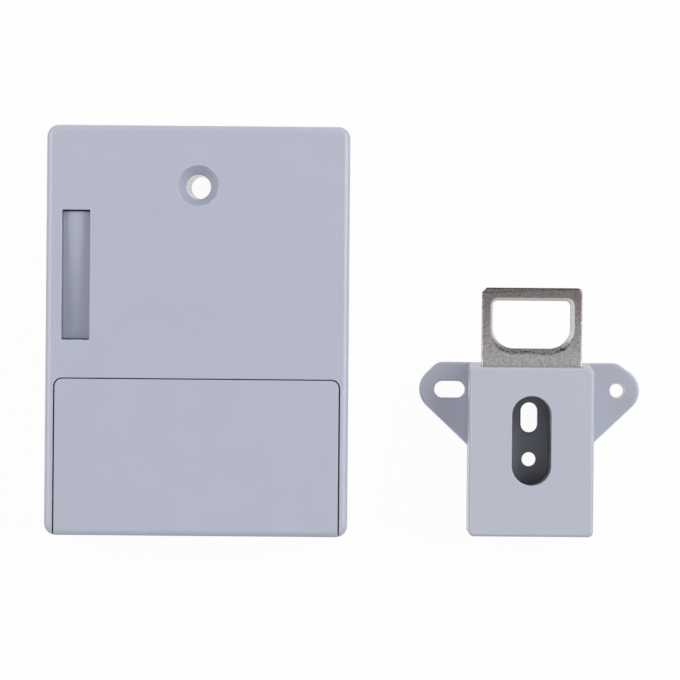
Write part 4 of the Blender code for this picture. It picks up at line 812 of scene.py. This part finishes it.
def makeCatchBase():
    # Outline: the box's own foot, a slanting edge up to each ear, the ear's arc, a shoulder, the top edge
    b = baseShape
    earX = (baseHigh[0] - baseLow[0]) / 2 - b["earRadius"]
    centre = np.array([earX, b["earRow"]])
    north = baseHigh[1] - catchAt[1]
    sides = []
    for shoulderOut in b["shoulderOut"]:
        ends = np.array([[boxHalf, b["foot"]], [earX + shoulderOut, north]])  # slanting edge's foot, shoulder
        away = ends - centre
        bearing = np.arctan2(away[:, 1], away[:, 0])
        swing = np.arccos(b["earRadius"] / np.linalg.norm(away, axis=1))
        start, end = bearing[0] + swing[0], bearing[1] - swing[1]
        middle, halfTurn = (start + end) / 2, (end - start) / 2
        tip = centre + b["earRadius"] / math.cos(halfTurn) * np.array([math.cos(middle), math.sin(middle)])
        sides.append(np.array([(boxHalf, -catchShape["length"] / 2), ends[0], tip, ends[1]]))
    vertices = catchAt + np.vstack([sides[0], sides[1][::-1] * (-1, 1)])
    radii = [catchShape["corner"], b["footCorner"], b["earRadius"], b["shoulder"]]
    path = outline(vertices, radii + radii[::-1], 14)
    low, top = baseLow[2], boxLow[2] - fit
    foot = [(b["footEdge"], low), (0.0, low + b["footEdge"])]
    base = solid("catchBase", carry(path, np.vstack([foot, roundEdge(b["edge"], b["edge"], top, steps=8)])))
    join(base, *[post(p, b["postRadius"], top / 2, plateLow[2] - fit) for p in plateScrewPlaces])

    slotShift = b["earSlotLong"] / 2 - b["slotWide"] / 2 + b["earSlotOut"]
    earRows = [(0.0, low - past), (0.0, low), (-b["earTaper"], top), (-b["earTaper"], top + past)]
    earRings = carry(ring(catchAt + centre, b["earHole"] / 2, 48), earRows)
    earRings[2:, :, :2] += b["earLean"]  # the hole widens and leans towards its face
    openings = [
        obround(catchAt + centre * (-1, 1) + (slotShift, 0), b["earSlotLong"], b["slotWide"]),
        obround(catchAt + (0, b["wellSlotY"]), b["slotWide"], b["slotLong"]),
        ring(catchAt + (0, b["wellHoleY"]), b["wellHole"] / 2, 48),
    ]
    pilotLow = plateHigh[2] - b["pilotDeep"]
    pilots = [post(p, b["pilot"], pilotLow, plateLow[2] + past) for p in plateScrewPlaces]
    sinkRows = [(0.0, -past), *b["sink"], (b["sink"][-1][0], top + past)]
    sinks = [solid("sink", carry(ring(p, b["sinkRadius"], 32), sinkRows)) for p in catchScrewPlaces]
    openings = [openRound(opening, b["lip"], -past, top) for opening in openings]
    cut(base, solid("earHole", earRings), *openings, *pilots, *sinks)
    finishPiece(base, "catchBase", "catch", catchPlastic, ["catch_base"])

    # The ear hole's wall and lip, drawn near white as a painted highlight of light from the white floor below
    middles = faceMiddles(base)
    fromHole = np.linalg.norm(middles[:, :2] - catchAt - centre, axis=1)
    inside = np.abs(middles[:, 2] - (low + top) / 2) < (top - low) / 2 - b["within"]
    paintFaces(base, paleHoleLight, inside & (fromHole < b["earHole"] / 2 + 2 * b["earTaper"]))


plateShape = {
    "bar": (3.0 * mm, 3.3 * mm, 3.6 * mm),  # left of the hole, right of it and above it
    "corner": 1.4 * mm, "roll": (0.4 * mm, 0.25 * mm), "burr": 0.12 * mm, "screwHole": 1.2 * mm,
    "nick": (1.35 * mm, 1.1 * mm, 0.22 * mm), "nickCorners": (0.5 * mm, 0.15 * mm, 0.1 * mm),
    "holeHeight": 13.5 * mm, "holeTop": 1.5 * mm, "holeLow": 5.9 * mm,
    "holeRoll": (1.0 * mm, 0.9 * mm), "lowerRoll": 0.5, "leftRoll": 0.35,
    "rollRows": [(0.0, 1.0), (0.82, 0.13), (0.92, 0.04), (1.0, 0.0)],  # shares of the roll, out and down
}
holeHigh = plateHigh[:2] - plateShape["bar"][1:]
holeLow = np.array([plateLow[0] + plateShape["bar"][0], holeHigh[1] - plateShape["holeHeight"]])


def makeStrikePlate():
    # Stamped plate: rolled edges on the face side, nearly sharp ones at the back, one corner nicked
    p = plateShape
    low, top = plateLow[2], plateHigh[2]
    across, down, step = p["nick"]
    corners = [
        (plateLow[0], plateLow[1]), (plateHigh[0], plateLow[1]), (plateHigh[0], plateHigh[1]),
        (plateLow[0] + across, plateHigh[1]), (plateLow[0] + step, plateHigh[1] - down),
        (plateLow[0], plateHigh[1] - down - step / 2),
    ]
    path = outline(corners, [p["corner"]] * 3 + list(p["nickCorners"]), 10)
    back = [(p["burr"], low), (0.0, low + p["burr"])]
    plate = solid("strikePlate", carry(path, np.vstack([back, roundEdge(*p["roll"], top, steps=8)])))

    # The punch drew the hole's lower edge down furthest and the left one least
    radii = [p["holeLow"], p["holeLow"], p["holeTop"], p["holeTop"]]
    holePath = outline(rectangle(holeLow, holeHigh), radii, 16)
    across, down = p["holeRoll"]
    slope = [(-out * across, top - deep * down) for out, deep in p["rollRows"]]
    rows = [(0.0, low - past), *slope, (-across, top + past)]
    swell = 1 + p["lowerRoll"] * np.clip(-holePath[1][:, 1], 0, 1)
    swell *= 1 - (1 - p["leftRoll"]) * np.clip(-holePath[1][:, 0], 0, 1)
    hole = solid("hole", carry(holePath, rows, swell))
    c = catchShape
    grown = 2 * c["wellWall"] + 2 * fit
    wellPath = obround(wellAt, c["wellWidth"] + grown, c["wellLength"] + grown)
    well = openRound(wellPath, p["burr"], low - past, top)
    screws = [post(place, p["screwHole"], low - past, top + past) for place in plateScrewPlaces]
    cut(plate, hole, well, *screws)
    finishPiece(plate, "strikePlate", "catch", stampedNickel(), ["strike_plate"])


# Painted light in the plate's colours: tip is a darker, browner tone for a painted darker reflection,
# burnishTopHighlight is a painted highlight, and lineDark, rollDark and tipDark set painted shade
plateFinish = {
    "foot": "#aba9a9", "tip": "#807878", "burnished": "#c6c3bf", "burnishTopHighlight": "#dedbd6",
    "burnish": 1.1 * mm, "burnishShift": 0.3 * mm, "burnishRough": 1.6, "crest": 0.8 * mm,
    "slopeFade": (0.05 * mm, 0.1 * mm),  # below and above the foot of the sloped edge
    "grain": 0.6, "cloud": 2.2,  # mm across a speck and a cloud
    "contrast": 0.42, "speckSpread": (0.32, 0.68), "rough": (0.5, 0.34),  # rough in dark and in light grain
    "line": 1.25 * mm, "lineWidth": 0.35 * mm, "lineDark": 0.5, "wander": 1.2 * mm,
    "rollDark": 0.5, "rollStart": 0.7, "tipDark": 0.55, "tipBand": (0.7 * mm, 0.25 * mm),
    "relief": 0.35, "reliefDeep": 0.06 * mm,
}


def stampedNickel():
    # Stamped steel, tumbled and nickel plated: a grey metal with a crawling light and dark grain, darker and
    # browner towards the tip as a painted darker reflection, with a burnish round the hole that is partly a
    # painted highlight and paler at its upper edge, and painted shade in a broken dark line and a band on the
    # hole's drawn-down lower edge and along the tip's edge; the grain is drawn coarser than its real 0.2 mm
    # so that it shows
    f = plateFinish
    material, tree, shader = newMaterial("steel, stamped, tumbled and nickel plated, plate")
    place = addNode(tree, "ShaderNodeTexCoord").outputs["Object"]
    axis = addNode(tree, "ShaderNodeSeparateXYZ", {0: place}).outputs
    grain = {"Vector": place, "Scale": perMm(f["grain"]), "Detail": 5.0, "Roughness": 0.62}
    grain = addNode(tree, "ShaderNodeTexNoise", grain).outputs[0]
    cloud = {"Vector": place, "Scale": perMm(f["cloud"]), "Detail": 2.0}
    cloud = addNode(tree, "ShaderNodeTexNoise", cloud).outputs[0]
    # Painted darker reflection: the tone turns darker and browner from the box's end up to the hole's top
    along = {"Value": axis["Y"], "From Min": boxHigh[1], "From Max": holeHigh[1]}
    along = addNode(tree, "ShaderNodeMapRange", along).outputs[0]
    tone = {"Factor": along, 6: srgb(f["foot"]), 7: srgb(f["tip"])}
    tone = addNode(tree, "ShaderNodeMix", tone, data_type="RGBA").outputs[2]

    # Distance out from the hole: length of (|x - cx| - hx + r, |y - cy| - hy + r), less the corner radius r,
    # which is the lower corners' below the middle and the upper corners' above it
    middle, half = (holeLow + holeHigh) / 2 + (f["burnishShift"], 0.0), (holeHigh - holeLow) / 2
    radius, radiusTop = plateShape["holeLow"], plateShape["holeTop"]
    upper = {0: axis["Y"], 1: middle[1]}
    upper = addNode(tree, "ShaderNodeMath", upper, operation="GREATER_THAN").outputs[0]
    corner = {0: upper, 1: radiusTop - radius, 2: radius}
    corner = addNode(tree, "ShaderNodeMath", corner, operation="MULTIPLY_ADD").outputs[0]
    steps = [("SUBTRACT", {1: (*middle, 0.0)}), ("ABSOLUTE", {}), ("SUBTRACT", {1: (*half, 1.0)})]
    steps += [("ADD", {1: corner}), ("MAXIMUM", {1: (0.0, 0.0, 0.0)})]
    reach = place
    for operation, other in steps:
        reach = addNode(tree, "ShaderNodeVectorMath", {0: reach, **other}, operation=operation).outputs[0]
    reach = addNode(tree, "ShaderNodeVectorMath", {0: reach}, operation="LENGTH").outputs["Value"]
    gap = addNode(tree, "ShaderNodeMath", {0: reach, 1: corner}, operation="SUBTRACT").outputs[0]
    fade = {"To Min": 1.0, "To Max": 0.0}
    low = {"Value": axis["Y"], "From Min": holeLow[1], "From Max": holeLow[1] + radius / 2, **fade}
    low = addNode(tree, "ShaderNodeMapRange", low).outputs[0]

    # Burnished edge, partly a painted highlight, fading out from the hole and down its sides; the upright
    # wall stays plain
    bright = {"Value": gap, "From Min": f["burnish"] / 2, "From Max": f["burnish"], **fade}
    bright = addNode(tree, "ShaderNodeMapRange", bright, interpolation_type="SMOOTHSTEP").outputs[0]
    bare = addNode(tree, "ShaderNodeMath", {0: 1.0, 1: low}, operation="SUBTRACT").outputs[0]
    slopeFoot = plateHigh[2] - plateShape["holeRoll"][1]
    below, above = f["slopeFade"]
    sloped = {"Value": axis["Z"], "From Min": slopeFoot - below, "From Max": slopeFoot + above}
    sloped = addNode(tree, "ShaderNodeMapRange", sloped).outputs[0]
    for share in (bare, sloped):
        bright = addNode(tree, "ShaderNodeMath", {0: bright, 1: share}, operation="MULTIPLY").outputs[0]
    # Painted highlight: the burnish drawn paler along the hole's upper edge
    crest = {"Value": axis["Y"], "From Min": holeHigh[1] - f["crest"], "From Max": holeHigh[1]}
    crest = addNode(tree, "ShaderNodeMapRange", crest).outputs[0]
    pale = {"Factor": crest, 6: srgb(f["burnished"]), 7: srgb(f["burnishTopHighlight"])}
    pale = addNode(tree, "ShaderNodeMix", pale, data_type="RGBA").outputs[2]
    burnished = {"Factor": bright, 6: tone, 7: pale}
    burnished = addNode(tree, "ShaderNodeMix", burnished, data_type="RGBA").outputs[2]

    # Painted shade: a dark line below the hole on its drawn-down edge, wandering with the clouds, a darker
    # band on the rolled edge above it, and a darker tip edge
    wander = {0: cloud, 1: f["wander"], 2: gap}
    wander = addNode(tree, "ShaderNodeMath", wander, operation="MULTIPLY_ADD").outputs[0]
    line = {0: wander, 1: f["line"] + f["wander"] / 2, 2: f["lineWidth"]}
    line = addNode(tree, "ShaderNodeMath", line, operation="COMPARE").outputs[0]
    line = addNode(tree, "ShaderNodeMath", {0: line, 1: f["lineDark"]}, operation="MULTIPLY").outputs[0]
    rolled = {"Value": gap, "From Min": f["line"] * f["rollStart"], "From Max": f["line"]}
    rolled |= {"To Min": f["rollDark"], "To Max": 0.0}
    rolled = addNode(tree, "ShaderNodeMapRange", rolled).outputs[0]
    paintedShade = addNode(tree, "ShaderNodeMath", {0: line, 1: rolled}, operation="ADD").outputs[0]
    paintedShade = addNode(tree, "ShaderNodeMath", {0: paintedShade, 1: low}, operation="MULTIPLY").outputs[0]
    # Painted shade: the tip's edge drawn darker
    start, end = plateHigh[1] - np.array(f["tipBand"])
    tipShade = {"Value": axis["Y"], "From Min": start, "From Max": end}
    tipShade = addNode(tree, "ShaderNodeMapRange", tipShade).outputs[0]
    paintedShade = {0: tipShade, 1: f["tipDark"], 2: paintedShade}
    paintedShade = addNode(tree, "ShaderNodeMath", paintedShade, operation="MULTIPLY_ADD").outputs[0]

    # Grain, evened out where the edge is burnished
    start, end = f["speckSpread"]
    speck = {"Value": grain, "From Min": start, "From Max": end}
    speck |= {"To Min": 1 - f["contrast"], "To Max": 1 + f["contrast"]}
    speck = addNode(tree, "ShaderNodeMapRange", speck).outputs[0]
    speck = addNode(tree, "ShaderNodeMix", {0: bright, 2: speck, 3: 1.0}).outputs[0]
    speck = addNode(tree, "ShaderNodeMath", {0: speck, 1: paintedShade}, operation="SUBTRACT").outputs[0]
    colour = {0: burnished, 1: speck}
    colour = addNode(tree, "ShaderNodeVectorMath", colour, operation="MULTIPLY").outputs[0]
    tree.links.new(colour, shader.inputs["Base Color"])
    dull = {"Value": grain, **noiseSpread, "To Min": f["rough"][0], "To Max": f["rough"][1]}
    dull = addNode(tree, "ShaderNodeMapRange", dull).outputs[0]
    gloss = {"Value": bright, "To Min": 1.0, "To Max": f["burnishRough"]}
    gloss = addNode(tree, "ShaderNodeMapRange", gloss).outputs[0]
    dull = addNode(tree, "ShaderNodeMath", {0: dull, 1: gloss}, operation="MULTIPLY").outputs[0]
    tree.links.new(dull, shader.inputs["Roughness"])
    bump = {"Height": grain, "Strength": f["relief"], "Distance": f["reliefDeep"]}
    bump = addNode(tree, "ShaderNodeBump", bump).outputs[0]
    tree.links.new(bump, shader.inputs["Normal"])
    shader.inputs["Metallic"].default_value = 1.0
    return material


makeCatchBox()
makeCatchBase()
makeStrikePlate()
for i in (1, 2):
    makeScrew(f"catchScrew{i}", "catch", f"catch_screw_{i}")
